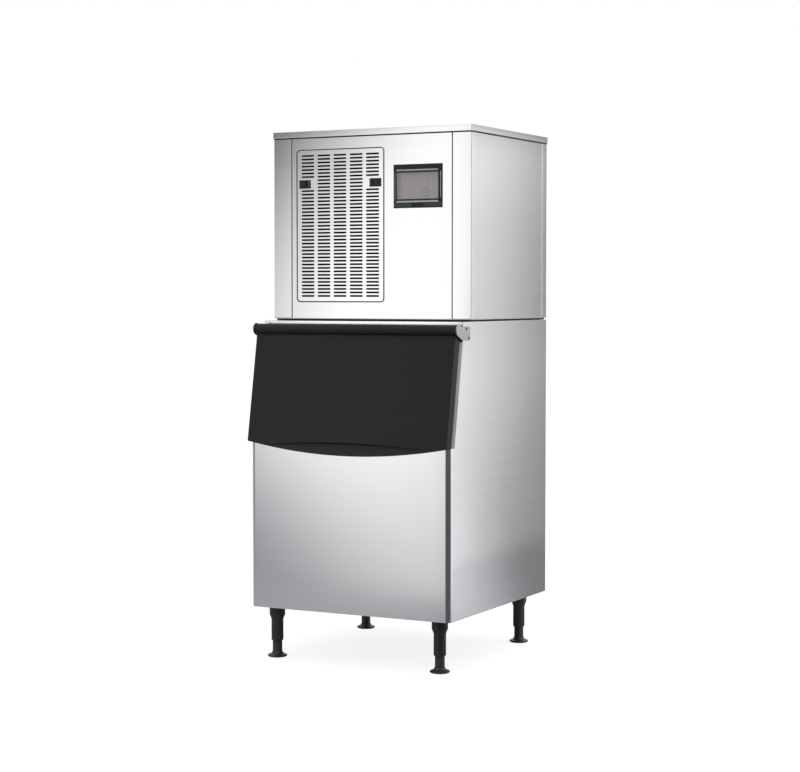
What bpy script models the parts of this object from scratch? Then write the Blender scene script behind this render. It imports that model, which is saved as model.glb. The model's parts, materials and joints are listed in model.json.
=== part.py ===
"""Cube ice machine: an ice-making head on an insulated storage bin with a lift-up door.

Metres, +Z up. +X is the machine's right as seen from the front, and the front faces -Y.
The origin is on the floor, at the middle of the machine's overall length and width.
"""

import math

import bmesh
import bpy
import numpy as np
from mathutils import Matrix, Vector

# Clearances and sheet
GAP = 0.0003  # between pieces that touch
SHEET = 0.0015  # stainless sheet
FOLD = 0.010  # folded lips along a sheet's edges
SEAM = 0.0025  # open seams between the head's panels

# Cabinet, outside
WIDTH = 0.660
BIN_DEPTH = 0.680
BIN_HEIGHT = 0.852
HEAD_SETBACK = 0.138  # the head's face behind the bin's front
HEAD_HEIGHT = 0.560
LEG_HEIGHT = 0.155
HEAD_SEAL_HEIGHT = 0.005
DOOR_PROUD = 0.020  # the door's lower corners stand this far in front of the bin
FITTING_PROUD = 0.020  # the rear fittings stand this far behind the back
BIN_CORNER_RADIUS = 0.015

# Bin
OPENING_HEIGHT = 0.300  # of the slanted opening, sill to header
DOOR_TILT = math.radians(10.0)
HEADER_HEIGHT = 0.057  # bin's top edge down to the top of the slanted opening
WALL = 0.055  # insulated walls, with sheet and liner
FLOOR_THICKNESS = 0.060
LINER = 0.003
OPENING_DEPTH = 0.0197  # the opening frame, measured along Y
OPENING_SILL = 0.030  # the opening frame's rails
OPENING_HEAD = 0.020
TOP_OPENING_LIP = 0.003  # the top frame's edge stands inside the liner
HEADER_MARGIN = 0.014  # the storage space starts this far behind the head's seal
DRAIN_RADIUS = 0.013
DRAIN_WALL = 0.003
DRAIN_DROP = 0.022
DRAIN_INSET = 0.085  # from the bin's back

# Door
DOOR_SIDE_GAP = 0.001
DOOR_DEPTH = 0.026
DOOR_SEAL = 0.003
DOOR_SEAL_WIDTH = 0.014
DOOR_WALL = 0.004
DOOR_INNER = 0.003
DOOR_SILL_GAP = 0.002
RAIL_RADIUS = 0.0155  # round top rail, on the hinge axis
RAIL_PROUD = 0.011  # in front of the door's face
RAIL_DROP = 0.024  # its axis below the bin's top
RAIL_BEVEL = 0.004
GROOVE = 0.022  # hinge axis down to the top of the face
GRIP_DROP = 0.0325  # the lip at mid width, below the door's corners
GRIP_RISE = 0.005  # the scoop's upper line at mid width, above the corners
GRIP_SIDE = 0.052  # the scoop's ends, in from the door's sides
GRIP_DEPTH = 0.008
LIP_DEPTH = 0.016
BOTTOM_RAIL = 0.020

# Hinge brackets
EAR_SHEET = 0.003
EAR_STANDOFF = 0.005
EAR_RADIUS = 0.0175
EAR_REACH = 0.071  # hinge axis to the bracket's rear edge
EAR_TOP = 0.0105
EAR_DROP = 0.029
EAR_FOOT = 0.024  # hinge axis back to the lower front corner
EAR_PAD = 0.027  # hinge axis back to the folded part that seats on the bin
PIN_RADIUS = 0.005
PIN_LENGTH = 0.025
PIN_PLAY = 0.0003

# Legs
LEG_INSET_X = 0.058
LEG_INSET_FRONT = 0.0535
LEG_INSET_REAR = 0.0725
LEG_COLLAR_RADIUS = 0.024
LEG_COLLAR_HEIGHT = 0.027
LEG_SLEEVE_RADIUS = 0.018
LEG_TAPER = 0.013
LEG_SLEEVE_END = 0.050  # above the floor
LEG_STEM_RADIUS = 0.0145
LEG_PLAY = 0.0003
LEG_BORE_DEPTH = 0.075
LEG_STEM_IN_BORE = 0.040
FOOT_RADIUS = 0.029
FOOT_RIM = 0.005
FOOT_SHOULDER = 0.022
FOOT_DOME = 0.005
FOOT_RISE = 0.007

# Head shell
POST_FRONT = 0.062
POST_SIDE = 0.047
POST_REAR = 0.037
PANEL_RECESS = 0.001
COVER_LIP = 0.019
COVER_SHEET = 0.002
PAN_RIM_INSET = 0.012
PAN_RIM_HEIGHT = 0.020
SEAL_INSET = 0.018
SEAL_WIDTH = 0.020

# Slotted filter cover and its latches
GRILLE_LEFT = 0.080  # the machine's left side to the cover's left edge
GRILLE_TO_BEZEL = 0.034  # the cover reaches this close to the control bezel
GRILLE_TOP = 0.057  # the head's top down to the cover's top edge
GRILLE_BOTTOM = 0.051  # the head's bottom up to the cover's lower edge
GRILLE_GAP = 0.0018
GRILLE_CORNER = 0.010
GRILLE_PAN = 0.006
LEDGE = 0.009  # the seat behind the cover's edge
SLOT_MARGIN = 0.0125  # least metal between the slots and the cover's edge
SLOT_WIDTH = 0.0435
SLOT_HEIGHT = 0.005
SLOT_PITCH_X = 0.055
SLOT_PITCH_Z = 0.01045
LATCH_WIDTH = 0.038
LATCH_HEIGHT = 0.025
LATCH_INSET = 0.028
LATCH_DROP = 0.1015  # the cover's top edge down to the latches' middle
LATCH_PROUD = 0.002
LATCH_FLANGE = 0.0023
LATCH_RECESS_WIDTH = 0.024
LATCH_RECESS_HEIGHT = 0.018
LATCH_RECESS_DEPTH = 0.0036
LATCH_TRAVEL = 0.006
THUMB_WIDTH = 0.016
THUMB_PROUD = 0.0005
SHANK = 0.006
TONGUE = 0.002
TONGUE_CATCH = 0.006  # how far the bolt reaches behind the ledge
FILTER_THICKNESS = 0.004

# Control window
BEZEL_RIGHT = 0.0935  # the machine's right side to the bezel's right edge
BEZEL_WIDTH = 0.1575
BEZEL_TOP = 0.109  # the head's top down to the bezel's top edge
BEZEL_HEIGHT = 0.127
BEZEL_PROUD = 0.003
BEZEL_LIP = 0.004
BEZEL_DEPTH = 0.014
WINDOW_SIDE = 0.0085  # bezel's edge to the window in it
WINDOW_TOP = 0.014
WINDOW_BOTTOM = 0.016
FLAP_SHEET = 0.0025
FLAP_SIDE_PLAY = 0.0012
FLAP_BARREL = 0.0019
FLAP_PIN = 0.001
FLAP_PIN_REACH = 0.0022
NOTCH_WIDTH = 0.036
NOTCH_HEIGHT = 0.010
KEYPAD_THICKNESS = 0.003
BUTTON_RADIUS = 0.011
BUTTON_TRAVEL = 0.0015
BUTTON_PROUD = 0.002
BUTTON_INSET = 0.059  # the bezel's right edge less this is the button's middle
BUTTON_LOW = 0.045  # above the bezel's lower edge
CONTROL_BOX_DEPTH = 0.065

# Cooling machinery
DIVIDER_BESIDE = 0.020  # the insulated wall's middle, right of the filter cover
DIVIDER_THICKNESS = 0.020
COIL_BEHIND = 0.014  # condenser's face behind the filter cover's ledge
COIL_INSET = 0.0075  # inside the cover's left and right edges
COIL_LOW = 0.0105  # above the cover's lower edge
COIL_HIGH = 0.0415  # below the cover's top edge
COIL_DEPTH = 0.050
COIL_FINS = 28
FIN_DEPTH = 0.012
COIL_PLATE = 0.002
SHROUD_RIM = 0.014  # least width of the shroud round its opening
SHROUD_COLLAR = 0.042
FAN_TIP_GAP = 0.006
FAN_HUB_RADIUS = 0.026
FAN_HUB_LENGTH = 0.022
FAN_BLADES = 5
FAN_BLADE_THICKNESS = 0.002
FAN_BLADE_PITCH = 0.016
FAN_BLADE_ROOT = 0.005  # inside the hub
FAN_SWEEP_HUB = math.radians(30)  # half of the angle that a blade spans
FAN_SWEEP_TIP = math.radians(22)
FAN_SHAFT = 0.005
FAN_SHAFT_LENGTH = 0.024
SHAFT_PLAY = 0.0005
MOTOR_RADIUS = 0.042
MOTOR_LENGTH = 0.055
MOTOR_STANDOFF = 0.050
MOTOR_ARM = 0.012
MOTOR_PLATE = 0.002
COMPRESSOR_BEHIND = 0.035  # its plate behind the fan's motor
COMPRESSOR_RADIUS = 0.085
COMPRESSOR_HEIGHT = 0.225
COMPRESSOR_PLATE = 0.205
COMPRESSOR_SHAPE = (  # shares of its radius and of its height
    (0.0, 0.0),
    (0.86, 0.0),
    (1.0, 0.10),
    (1.0, 0.55),
    (1.03, 0.56),
    (1.03, 0.60),
    (1.0, 0.61),
    (0.96, 0.80),
    (0.75, 0.94),
    (0.0, 1.0),
)
TERMINAL_SIZE = 0.056
TERMINAL_PROUD = 0.010
TERMINAL_BASE = 0.055  # above the compressor's plate
GROMMET_RADIUS = 0.011
GROMMET_HEIGHT = 0.014
DRIER_BASE = 0.060  # above the head's base
DRIER_RADIUS = 0.011
DRIER_LENGTH = 0.110
DRIER_NECK = 0.004

# Ice-making machinery
EVAPORATOR_BESIDE = 0.073  # the grid's back, right of the insulated wall's middle
EVAPORATOR_FRONT = 0.147  # the grid's front edge behind the head's face
EVAPORATOR_REAR = 0.085  # the grid's rear edge in front of the head's back
EVAPORATOR_BASE = 0.107  # above the head's base
EVAPORATOR_TOP = 0.113  # below the head's top
EVAPORATOR_THICKNESS = 0.020
POCKET_DEPTH = 0.014
POCKETS_Y = 8
POCKETS_Z = 9
POCKET_WALL = 0.006
TUBE_RADIUS = 0.0045
TUBE_PASSES = 6
RING_WIDTH = 0.020
RING_DEPTH = 0.032
RING_ARM = 0.016
CURTAIN_GAP = 0.012
CURTAIN_SHEET = 0.002
CURTAIN_PEG = 0.003
CURTAIN_PLAY = 0.0004
EAR_THICKNESS = 0.008
DISTRIBUTOR_RADIUS = 0.009
DISTRIBUTOR_BEND = 0.0135
TROUGH_BESIDE = 0.030  # right of the insulated wall's middle
TROUGH_WIDTH = 0.093
TROUGH_HEIGHT = 0.076
TROUGH_WALL = 0.003
SPOUT_RADIUS = 0.008
SPOUT_HEIGHT = 0.042  # above the head's base
DROP_GAP = 0.007  # the trough to the hole that the ice drops through
DROP_SIDE = 0.062  # that hole to the head's right side
PUMP_RADIUS = 0.024
PUMP_HEIGHT = 0.062
PUMP_PLATE = 0.003
PUMP_PLATE_LENGTH = 0.0613
SUCTION_RADIUS = 0.012
SUCTION_LIFT = 0.009  # above the base
GLAND_INSET = 0.080
GLAND_HEIGHT = 0.040
GLAND_RADIUS = 0.011
GLAND_BORE = 0.0055
GLAND_COLLAR = 0.0165
INLET_INSET = 0.080
INLET_HEIGHT = 0.080
INLET_RADIUS = 0.010
INLET_BORE = 0.006
INLET_BODY = 0.016  # half the width of the valve's body
LOUVRES = 12
LOUVRE_INSET = 0.0975
LOUVRE_COLUMN = 0.180
LOUVRE_LENGTH = 0.150
LOUVRE_TOP = 0.420  # above the head's base
LOUVRE_PITCH = 0.020
LOUVRE_HEIGHT = 0.007

# Frame: where the driving sizes put the machine
X = WIDTH / 2
LIP_PROUD = DOOR_PROUD + GRIP_DROP * math.sin(DOOR_TILT)
Y_BACK = (BIN_DEPTH + LIP_PROUD - FITTING_PROUD) / 2
Y_BIN = Y_BACK - BIN_DEPTH
Y_HEAD = Y_BIN + HEAD_SETBACK
Z_BIN = LEG_HEIGHT
Z_BIN_TOP = Z_BIN + BIN_HEIGHT
Z_HEADER = Z_BIN_TOP - HEADER_HEIGHT
Z_SILL = Z_HEADER - OPENING_HEIGHT
Z_HEAD = Z_BIN_TOP + HEAD_SEAL_HEIGHT + 2 * GAP
Z_TOP = Z_HEAD + HEAD_HEIGHT
Z_FLOOR = Z_HEAD + SHEET  # top face of the head's base
Z_SHELL = Z_FLOOR + GAP  # panels and posts stand here
Z_SHELL_TOP = Z_TOP - COVER_SHEET - GAP
SLOPE = math.tan(DOOR_TILT)
IN_Y = 1 / math.cos(DOOR_TILT)  # a distance square to the slant, measured along Y

WELD = 1e-6  # points closer than this are one
SMALL = 12  # sides of small round pieces
ROUND = 16  # sides of larger round pieces
FINE = 32  # sides of the fan's openings


# Outlines that the head's front panel shares with what is set into it
BEZEL_X1 = X - BEZEL_RIGHT
BEZEL_X0 = BEZEL_X1 - BEZEL_WIDTH
BEZEL_Z1 = Z_TOP - BEZEL_TOP
BEZEL_Z0 = BEZEL_Z1 - BEZEL_HEIGHT
GRILLE_X0 = -X + GRILLE_LEFT
GRILLE_X1 = BEZEL_X0 - GRILLE_TO_BEZEL
GRILLE_Z1 = Z_TOP - GRILLE_TOP
GRILLE_Z0 = Z_HEAD + GRILLE_BOTTOM
LEDGE_FACE = Y_HEAD + GRILLE_PAN + GAP
LEDGE_BACK = LEDGE_FACE + SHEET

# Places inside the head
DIVIDER_X = GRILLE_X1 + DIVIDER_BESIDE
EVAPORATOR_X = DIVIDER_X + EVAPORATOR_BESIDE
EVAPORATOR_Y0 = Y_HEAD + EVAPORATOR_FRONT
EVAPORATOR_Y1 = Y_BACK - EVAPORATOR_REAR
EVAPORATOR_Z0 = Z_FLOOR + EVAPORATOR_BASE
EVAPORATOR_Z1 = Z_TOP - EVAPORATOR_TOP
TROUGH_LEFT = DIVIDER_X + TROUGH_BESIDE
TROUGH_RIGHT = TROUGH_LEFT + TROUGH_WIDTH
TROUGH_BACK = EVAPORATOR_Y1 + RING_WIDTH
COIL_X0, COIL_X1 = GRILLE_X0 + COIL_INSET, GRILLE_X1 - COIL_INSET
COIL_Z0, COIL_Z1 = GRILLE_Z0 + COIL_LOW, GRILLE_Z1 - COIL_HIGH
SHROUD_RADIUS = min(COIL_X1 - COIL_X0, COIL_Z1 - COIL_Z0) / 2 - SHROUD_RIM
FAN_TIP_RADIUS = SHROUD_RADIUS - FAN_TIP_GAP


def clear_scene():
    """Start from nothing."""
    for leftover in list(bpy.data.objects):
        bpy.data.objects.remove(leftover, do_unlink=True)


def make_material(name, colour, roughness, metallic=0.0, alpha=1.0):
    """A plain Principled material with the piece's colour."""
    material = bpy.data.materials.new(name)
    material.use_nodes = True
    shader = material.node_tree.nodes["Principled BSDF"]
    shader.inputs["Base Color"].default_value = (*colour, 1.0)
    shader.inputs["Roughness"].default_value = roughness
    shader.inputs["Metallic"].default_value = metallic
    shader.inputs["Alpha"].default_value = alpha
    return material


def make_materials():
    """Every finish on the machine, by name."""
    return {
        "stainless": make_material("stainless", (0.72, 0.71, 0.71), 0.28, 1.0),
        "galvanised": make_material("galvanised", (0.55, 0.56, 0.57), 0.45, 1.0),
        "black_plastic": make_material("black_plastic", (0.020, 0.020, 0.023), 0.42),
        "white_plastic": make_material("white_plastic", (0.80, 0.80, 0.78), 0.45),
        "grey_plastic": make_material("grey_plastic", (0.42, 0.42, 0.43), 0.50),
        "foam": make_material("foam", (0.78, 0.70, 0.45), 0.90),
        "rubber": make_material("rubber", (0.015, 0.015, 0.016), 0.75),
        "copper": make_material("copper", (0.72, 0.36, 0.20), 0.30, 1.0),
        "aluminium": make_material("aluminium", (0.70, 0.71, 0.72), 0.40, 1.0),
        "black_steel": make_material("black_steel", (0.03, 0.03, 0.032), 0.45, 0.6),
        "brass": make_material("brass", (0.70, 0.52, 0.25), 0.30, 1.0),
        "smoked_cover": make_material("smoked_cover", (0.20, 0.19, 0.18), 0.08, 0.0, 0.45),
        "keypad_grey": make_material("keypad_grey", (0.30, 0.28, 0.26), 0.55),
    }


def to_object(name, shape, origin=(0.0, 0.0, 0.0)):
    """Turn a bmesh built in world coordinates into an object with the given origin."""
    bmesh.ops.translate(shape, verts=shape.verts, vec=-Vector(origin))
    mesh = bpy.data.meshes.new(name)
    shape.to_mesh(mesh)
    shape.free()
    piece = bpy.data.objects.new(name, mesh)
    piece.location = origin
    bpy.context.scene.collection.objects.link(piece)
    return piece


def block(low, high):
    """A box between two corners."""
    shape = bmesh.new()
    size = [b - a for a, b in zip(low, high)]
    centre = [(a + b) / 2 for a, b in zip(low, high)]
    place = Matrix.Translation(centre) @ Matrix.Diagonal((*size, 1.0))
    bmesh.ops.create_cube(shape, size=1.0, matrix=place)
    return shape


def prism(outline, axis, start, end):
    """Extrude a closed outline along an axis; its points are the other two coordinates, in order."""
    shape = bmesh.new()
    along = "XYZ".index(axis)
    verts = []
    for point in outline:
        place = list(point)
        place.insert(along, start)
        verts.append(shape.verts.new(place))
    face = shape.faces.new(verts)
    reach = Vector([end - start if letter == axis else 0.0 for letter in "XYZ"])
    moved = bmesh.ops.extrude_face_region(shape, geom=[face])["geom"]
    tops = [item for item in moved if isinstance(item, bmesh.types.BMVert)]
    bmesh.ops.translate(shape, verts=tops, vec=reach)
    bmesh.ops.recalc_face_normals(shape, faces=shape.faces)
    return shape


def rounded(left, right, low, high, radius, steps=4):
    """Outline of a rectangle with round corners."""
    corners = [(right, low, -90), (right, high, 0), (left, high, 90), (left, low, 180)]
    outline = []
    for u, v, first in corners:
        mid_u = u - math.copysign(radius, u - (left + right) / 2)
        mid_v = v - math.copysign(radius, v - (low + high) / 2)
        for step in range(steps + 1):
            angle = math.radians(first + 90 * step / steps)
            outline.append((mid_u + radius * math.cos(angle), mid_v + radius * math.sin(angle)))
    return outline


def turned(profile, centre, axis="Z", sides=ROUND):
    """Spin a closed profile of (radius, height) points round an axis through a centre."""
    shape = bmesh.new()
    rings = []
    turns = [2 * math.pi * (k + 0.5) / sides for k in range(sides)]
    for radius, height in profile:
        if radius == 0.0:
            ring = [(0.0, 0.0, height)]
        else:
            ring = [(radius * math.cos(t), radius * math.sin(t), height) for t in turns]
        rings.append([shape.verts.new(place) for place in ring])
    pairs = list(zip(rings, rings[1:] + rings[:1]))
    for lower, upper in pairs:
        if len(lower) == 1 and len(upper) == 1:
            continue
        for k in range(sides):
            after = (k + 1) % sides
            if len(lower) == 1:
                shape.faces.new((lower[0], upper[after], upper[k]))
            elif len(upper) == 1:
                shape.faces.new((lower[k], lower[after], upper[0]))
            else:
                shape.faces.new((lower[k], lower[after], upper[after], upper[k]))
    bmesh.ops.recalc_face_normals(shape, faces=shape.faces)
    turn = {
        "X": Matrix.Rotation(math.pi / 2, 4, "Y"),
        "Y": Matrix.Rotation(-math.pi / 2, 4, "X"),
        "Z": Matrix.Identity(4),
    }
    bmesh.ops.transform(shape, matrix=Matrix.Translation(centre) @ turn[axis], verts=shape.verts)
    return shape


def rod(radius, centre, axis, start, end, sides=ROUND):
    """A solid cylinder along an axis, between two coordinates on it."""
    base = list(centre)
    base["XYZ".index(axis)] = 0.0
    return turned([(0.0, start), (radius, start), (radius, end), (0.0, end)], base, axis, sides)


def merge(*shapes):
    """Put several separate closed shapes into one bmesh, for use as a cutter."""
    whole = bmesh.new()
    for shape in shapes:
        mesh = bpy.data.meshes.new("part")
        shape.to_mesh(mesh)
        shape.free()
        whole.from_mesh(mesh)
        bpy.data.meshes.remove(mesh)
    return whole


def combine(first, second, operation):
    """Apply an exact Boolean of two bmeshes and return the result."""
    base = to_object("base", first)
    tool = to_object("tool", second)
    step = base.modifiers.new("cut", "BOOLEAN")
    step.operation = operation
    step.solver = "EXACT"
    step.object = tool
    depsgraph = bpy.context.evaluated_depsgraph_get()
    mesh = bpy.data.meshes.new_from_object(base.evaluated_get(depsgraph))
    result = bmesh.new()
    result.from_mesh(mesh)
    bmesh.ops.remove_doubles(result, verts=result.verts, dist=WELD)
    for used in (base, tool):
        old = used.data
        bpy.data.objects.remove(used, do_unlink=True)
        bpy.data.meshes.remove(old)
    bpy.data.meshes.remove(mesh)
    return result


def cut(shape, *tools):
    """Take each tool out of a shape."""
    for tool in tools:
        shape = combine(shape, tool, "DIFFERENCE")
    return shape


def join(shape, *others):
    """Weld shapes into one body."""
    for other in others:
        shape = combine(shape, other, "UNION")
    return shape


def sheet_outline(path, thickness):
    """Outline of bent sheet: its outer face follows an open path and the metal lies to its left."""
    inner = []
    for k, point in enumerate(path):
        here = Vector(point)
        sides = []
        if k > 0:
            sides.append((here - Vector(path[k - 1])).normalized())
        if k < len(path) - 1:
            sides.append((Vector(path[k + 1]) - here).normalized())
        normals = [Vector((-side.y, side.x)) for side in sides]
        mean = sum(normals, Vector((0.0, 0.0)))
        mean.normalize()
        inner.append(tuple(here + mean * (thickness / mean.dot(normals[0]))))
    return list(path) + inner[::-1]


def finish(shape, name, material, origin=(0.0, 0.0, 0.0), parent=None, smooth=False):
    """Make the finished piece: mesh, material, shading, origin and parent."""
    piece = to_object(name, shape, origin)
    piece.data.materials.append(material)
    if smooth:
        piece.data.shade_smooth()
        piece.data.set_sharp_from_angle(angle=math.radians(35))
    if parent is not None:
        piece.parent = parent
        piece.location = Vector(origin) - parent.location
    return piece


def make_empty(name, location):
    """An empty that carries a group of pieces."""
    empty = bpy.data.objects.new(name, None)
    empty.location = location
    bpy.context.scene.collection.objects.link(empty)
    return empty


def door_face_y(z):
    """The door's face at a height."""
    return Y_BIN - DOOR_PROUD + (z - Z_SILL - DOOR_SILL_GAP) * SLOPE


def frame_front_y(z):
    """Front plane of the opening's frame at a height: the door's depth and seal behind its face."""
    return door_face_y(z) + (DOOR_DEPTH + DOOR_SEAL + GAP) * IN_Y


def frame_rear_y(z):
    """Rear plane of the opening's frame, which meets the header's face."""
    return frame_front_y(z) + OPENING_DEPTH


# Hinge axis of the door, and its length down to the lower corners
HINGE_Z = Z_BIN_TOP - RAIL_DROP
HINGE_Y = door_face_y(HINGE_Z) + (RAIL_RADIUS - RAIL_PROUD) * IN_Y
FACE = -(RAIL_RADIUS - RAIL_PROUD)  # the door's face, in the door's own upright frame
DOOR_LENGTH = (HINGE_Z - Z_SILL - DOOR_SILL_GAP) / math.cos(DOOR_TILT) - FACE * SLOPE
DOOR_HALF = X - DOOR_SIDE_GAP
RAIL_HALF = X + EAR_STANDOFF - 2 * GAP

# Bin cavity, shared by its liner, insulation, top frame and the head above
Z_CAVITY = Z_BIN + FLOOR_THICKNESS
CAVITY_X = X - WALL
CAVITY_FRONT = Y_BIN + WALL
CAVITY_BACK = Y_BACK - WALL
HEADER_BACK = Y_HEAD + SEAL_INSET + SEAL_WIDTH + HEADER_MARGIN
Z_PASS_LOW = Z_SILL + OPENING_SILL
Z_PASS_HIGH = Z_HEADER - OPENING_HEAD
Z_LINER_TOP = Z_BIN_TOP - SHEET - GAP


def cavity_outline(grow, top, ahead=0.0):
    """Side view of the storage space, grown by a wall, open at the slanted frame or ahead of it."""
    low, high = Z_PASS_LOW - grow, Z_PASS_HIGH + grow
    return [
        (CAVITY_FRONT - grow, Z_CAVITY - grow),
        (CAVITY_BACK + grow, Z_CAVITY - grow),
        (CAVITY_BACK + grow, top),
        (HEADER_BACK - grow, top),
        (HEADER_BACK - grow, high),
        (frame_rear_y(high) + GAP - ahead, high),
        (frame_rear_y(low) + GAP - ahead, low),
        (CAVITY_FRONT - grow, low),
    ]


def wrap_plan(inset, back):
    """Plan of the bin's wrap, inset from the outside, open at the back."""
    side = X - inset
    front = Y_BIN + inset
    radius = BIN_CORNER_RADIUS - inset
    arc = [math.radians(90 * k / 4) for k in range(5)]
    left = []
    for t in arc:
        left.append((-side + radius * (1 - math.cos(t)), front + radius * (1 - math.sin(t))))
    right = [(-u, v) for u, v in left[::-1]]
    return [(-side, back), *left, *right, (side, back)]


def build_bin(mats, group):
    """The insulated bin, without its door and legs."""
    # Stainless wrap: front and sides in one folded sheet, cut back above the sill for the opening.
    plan = wrap_plan(0.0, Y_BACK) + wrap_plan(SHEET, Y_BACK)[::-1]
    wrap = prism(plan, "Z", Z_BIN, Z_BIN_TOP)
    far = Y_BIN - WALL
    clear_above = [
        (far, Z_SILL),
        (frame_rear_y(Z_SILL), Z_SILL),
        (frame_rear_y(Z_HEADER), Z_HEADER),
        (frame_rear_y(Z_HEADER), Z_BIN_TOP + WALL),
        (far, Z_BIN_TOP + WALL),
    ]
    wrap = cut(wrap, prism(clear_above, "X", -X - WALL, X + WALL))
    ledge = prism(wrap_plan(SHEET / 2, Y_BACK), "Z", Z_SILL - SHEET, Z_SILL)
    strip = block((-X, Y_BIN, Z_BIN), (X, frame_front_y(Z_SILL) - GAP, Z_BIN_TOP))
    wrap = join(wrap, combine(ledge, strip, "INTERSECT"))
    finish(wrap, "bin_wrap", mats["stainless"], parent=group)

    inside = X - SHEET - GAP
    back = block((-inside, Y_BACK - SHEET, Z_BIN), (inside, Y_BACK, Z_BIN_TOP))
    finish(back, "bin_back_panel", mats["galvanised"], parent=group)
    drain_y = Y_BACK - DRAIN_INSET
    bottom = prism(bin_floor_plan(), "Z", Z_BIN, Z_BIN + SHEET)
    hole = rod(DRAIN_RADIUS + GAP, (0, drain_y, 0), "Z", Z_BIN - WALL, Z_BIN + WALL)
    finish(cut(bottom, hole), "bin_bottom_panel", mats["galvanised"], parent=group)

    # Top frame: header face, folded back into the plate that the head stands on.
    face = frame_rear_y(Z_HEADER)
    behind = Y_BACK - SHEET - GAP
    fold = [(face, Z_HEADER), (face, Z_BIN_TOP), (behind, Z_BIN_TOP)]
    top = prism(sheet_outline(fold, -SHEET), "X", -inside, inside)
    opening = CAVITY_X - TOP_OPENING_LIP
    above = Z_BIN_TOP + WALL
    window = block((-opening, HEADER_BACK, Z_BIN_TOP - WALL), (opening, CAVITY_BACK, above))
    finish(cut(top, window), "bin_top_frame", mats["stainless"], parent=group)

    # Moulded frame round the slanted opening.
    low, high = Z_SILL + GAP, Z_HEADER - GAP
    section = [
        (frame_front_y(low), low),
        (frame_rear_y(low) - GAP, low),
        (frame_rear_y(high) - GAP, high),
        (frame_front_y(high), high),
    ]
    ring = prism(section, "X", -X, X)
    passage = block((-CAVITY_X, far, Z_PASS_LOW), (CAVITY_X, HEADER_BACK, Z_PASS_HIGH))
    finish(cut(ring, passage), "opening_frame", mats["grey_plastic"], parent=group)

    # Liner: one moulded tub, open at the top and at the slanted frame, with a drain hole.
    half = CAVITY_X
    liner = prism(cavity_outline(LINER, Z_LINER_TOP), "X", -half - LINER, half + LINER)
    space = prism(cavity_outline(0.0, above, WALL), "X", -half, half)
    drain_hole = rod(DRAIN_RADIUS + GAP, (0, drain_y, 0), "Z", Z_BIN, Z_CAVITY + WALL)
    liner = cut(liner, space, drain_hole)
    finish(liner, "bin_liner", mats["white_plastic"], parent=group)

    # Insulation: all the room between the sheet and the liner.
    edge = SHEET + GAP
    body = [
        (Y_BIN + edge, Z_BIN + edge),
        (Y_BACK - edge, Z_BIN + edge),
        (Y_BACK - edge, Z_LINER_TOP),
        (face + edge, Z_LINER_TOP),
        (face + edge, Z_HEADER),
        (frame_rear_y(Z_HEADER) + GAP, Z_HEADER - GAP),
        (frame_rear_y(Z_SILL) + GAP, Z_SILL),
        (frame_rear_y(Z_SILL) + GAP, Z_SILL - SHEET - GAP),
        (Y_BIN + edge, Z_SILL - SHEET - GAP),
    ]
    foam = prism(body, "X", -X + edge, X - edge)
    foam = combine(foam, prism(bin_floor_plan(), "Z", Z_BIN, Z_BIN_TOP), "INTERSECT")
    room = half + LINER + GAP
    hollow = prism(cavity_outline(LINER + GAP, above, WALL), "X", -room, room)
    pipe_way = rod(DRAIN_RADIUS + GAP, (0, drain_y, 0), "Z", Z_BIN, Z_CAVITY)
    finish(cut(foam, hollow, pipe_way), "bin_insulation", mats["foam"], parent=group)

    flange = DRAIN_RADIUS + 2 * DRAIN_WALL
    floor = Z_CAVITY + GAP
    bore = DRAIN_RADIUS - DRAIN_WALL
    profile = [
        (bore, Z_BIN - DRAIN_DROP),
        (DRAIN_RADIUS, Z_BIN - DRAIN_DROP),
        (DRAIN_RADIUS, floor),
        (flange, floor),
        (flange, floor + DRAIN_WALL),
        (bore, floor + DRAIN_WALL),
    ]
    drain = turned(profile, (0, drain_y, 0))
    finish(drain, "bin_drain_fitting", mats["black_plastic"], parent=group, smooth=True)


def bin_floor_plan():
    """Plan just inside the wrap, closed at the back."""
    return wrap_plan(SHEET + GAP, Y_BACK - SHEET - GAP)


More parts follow.
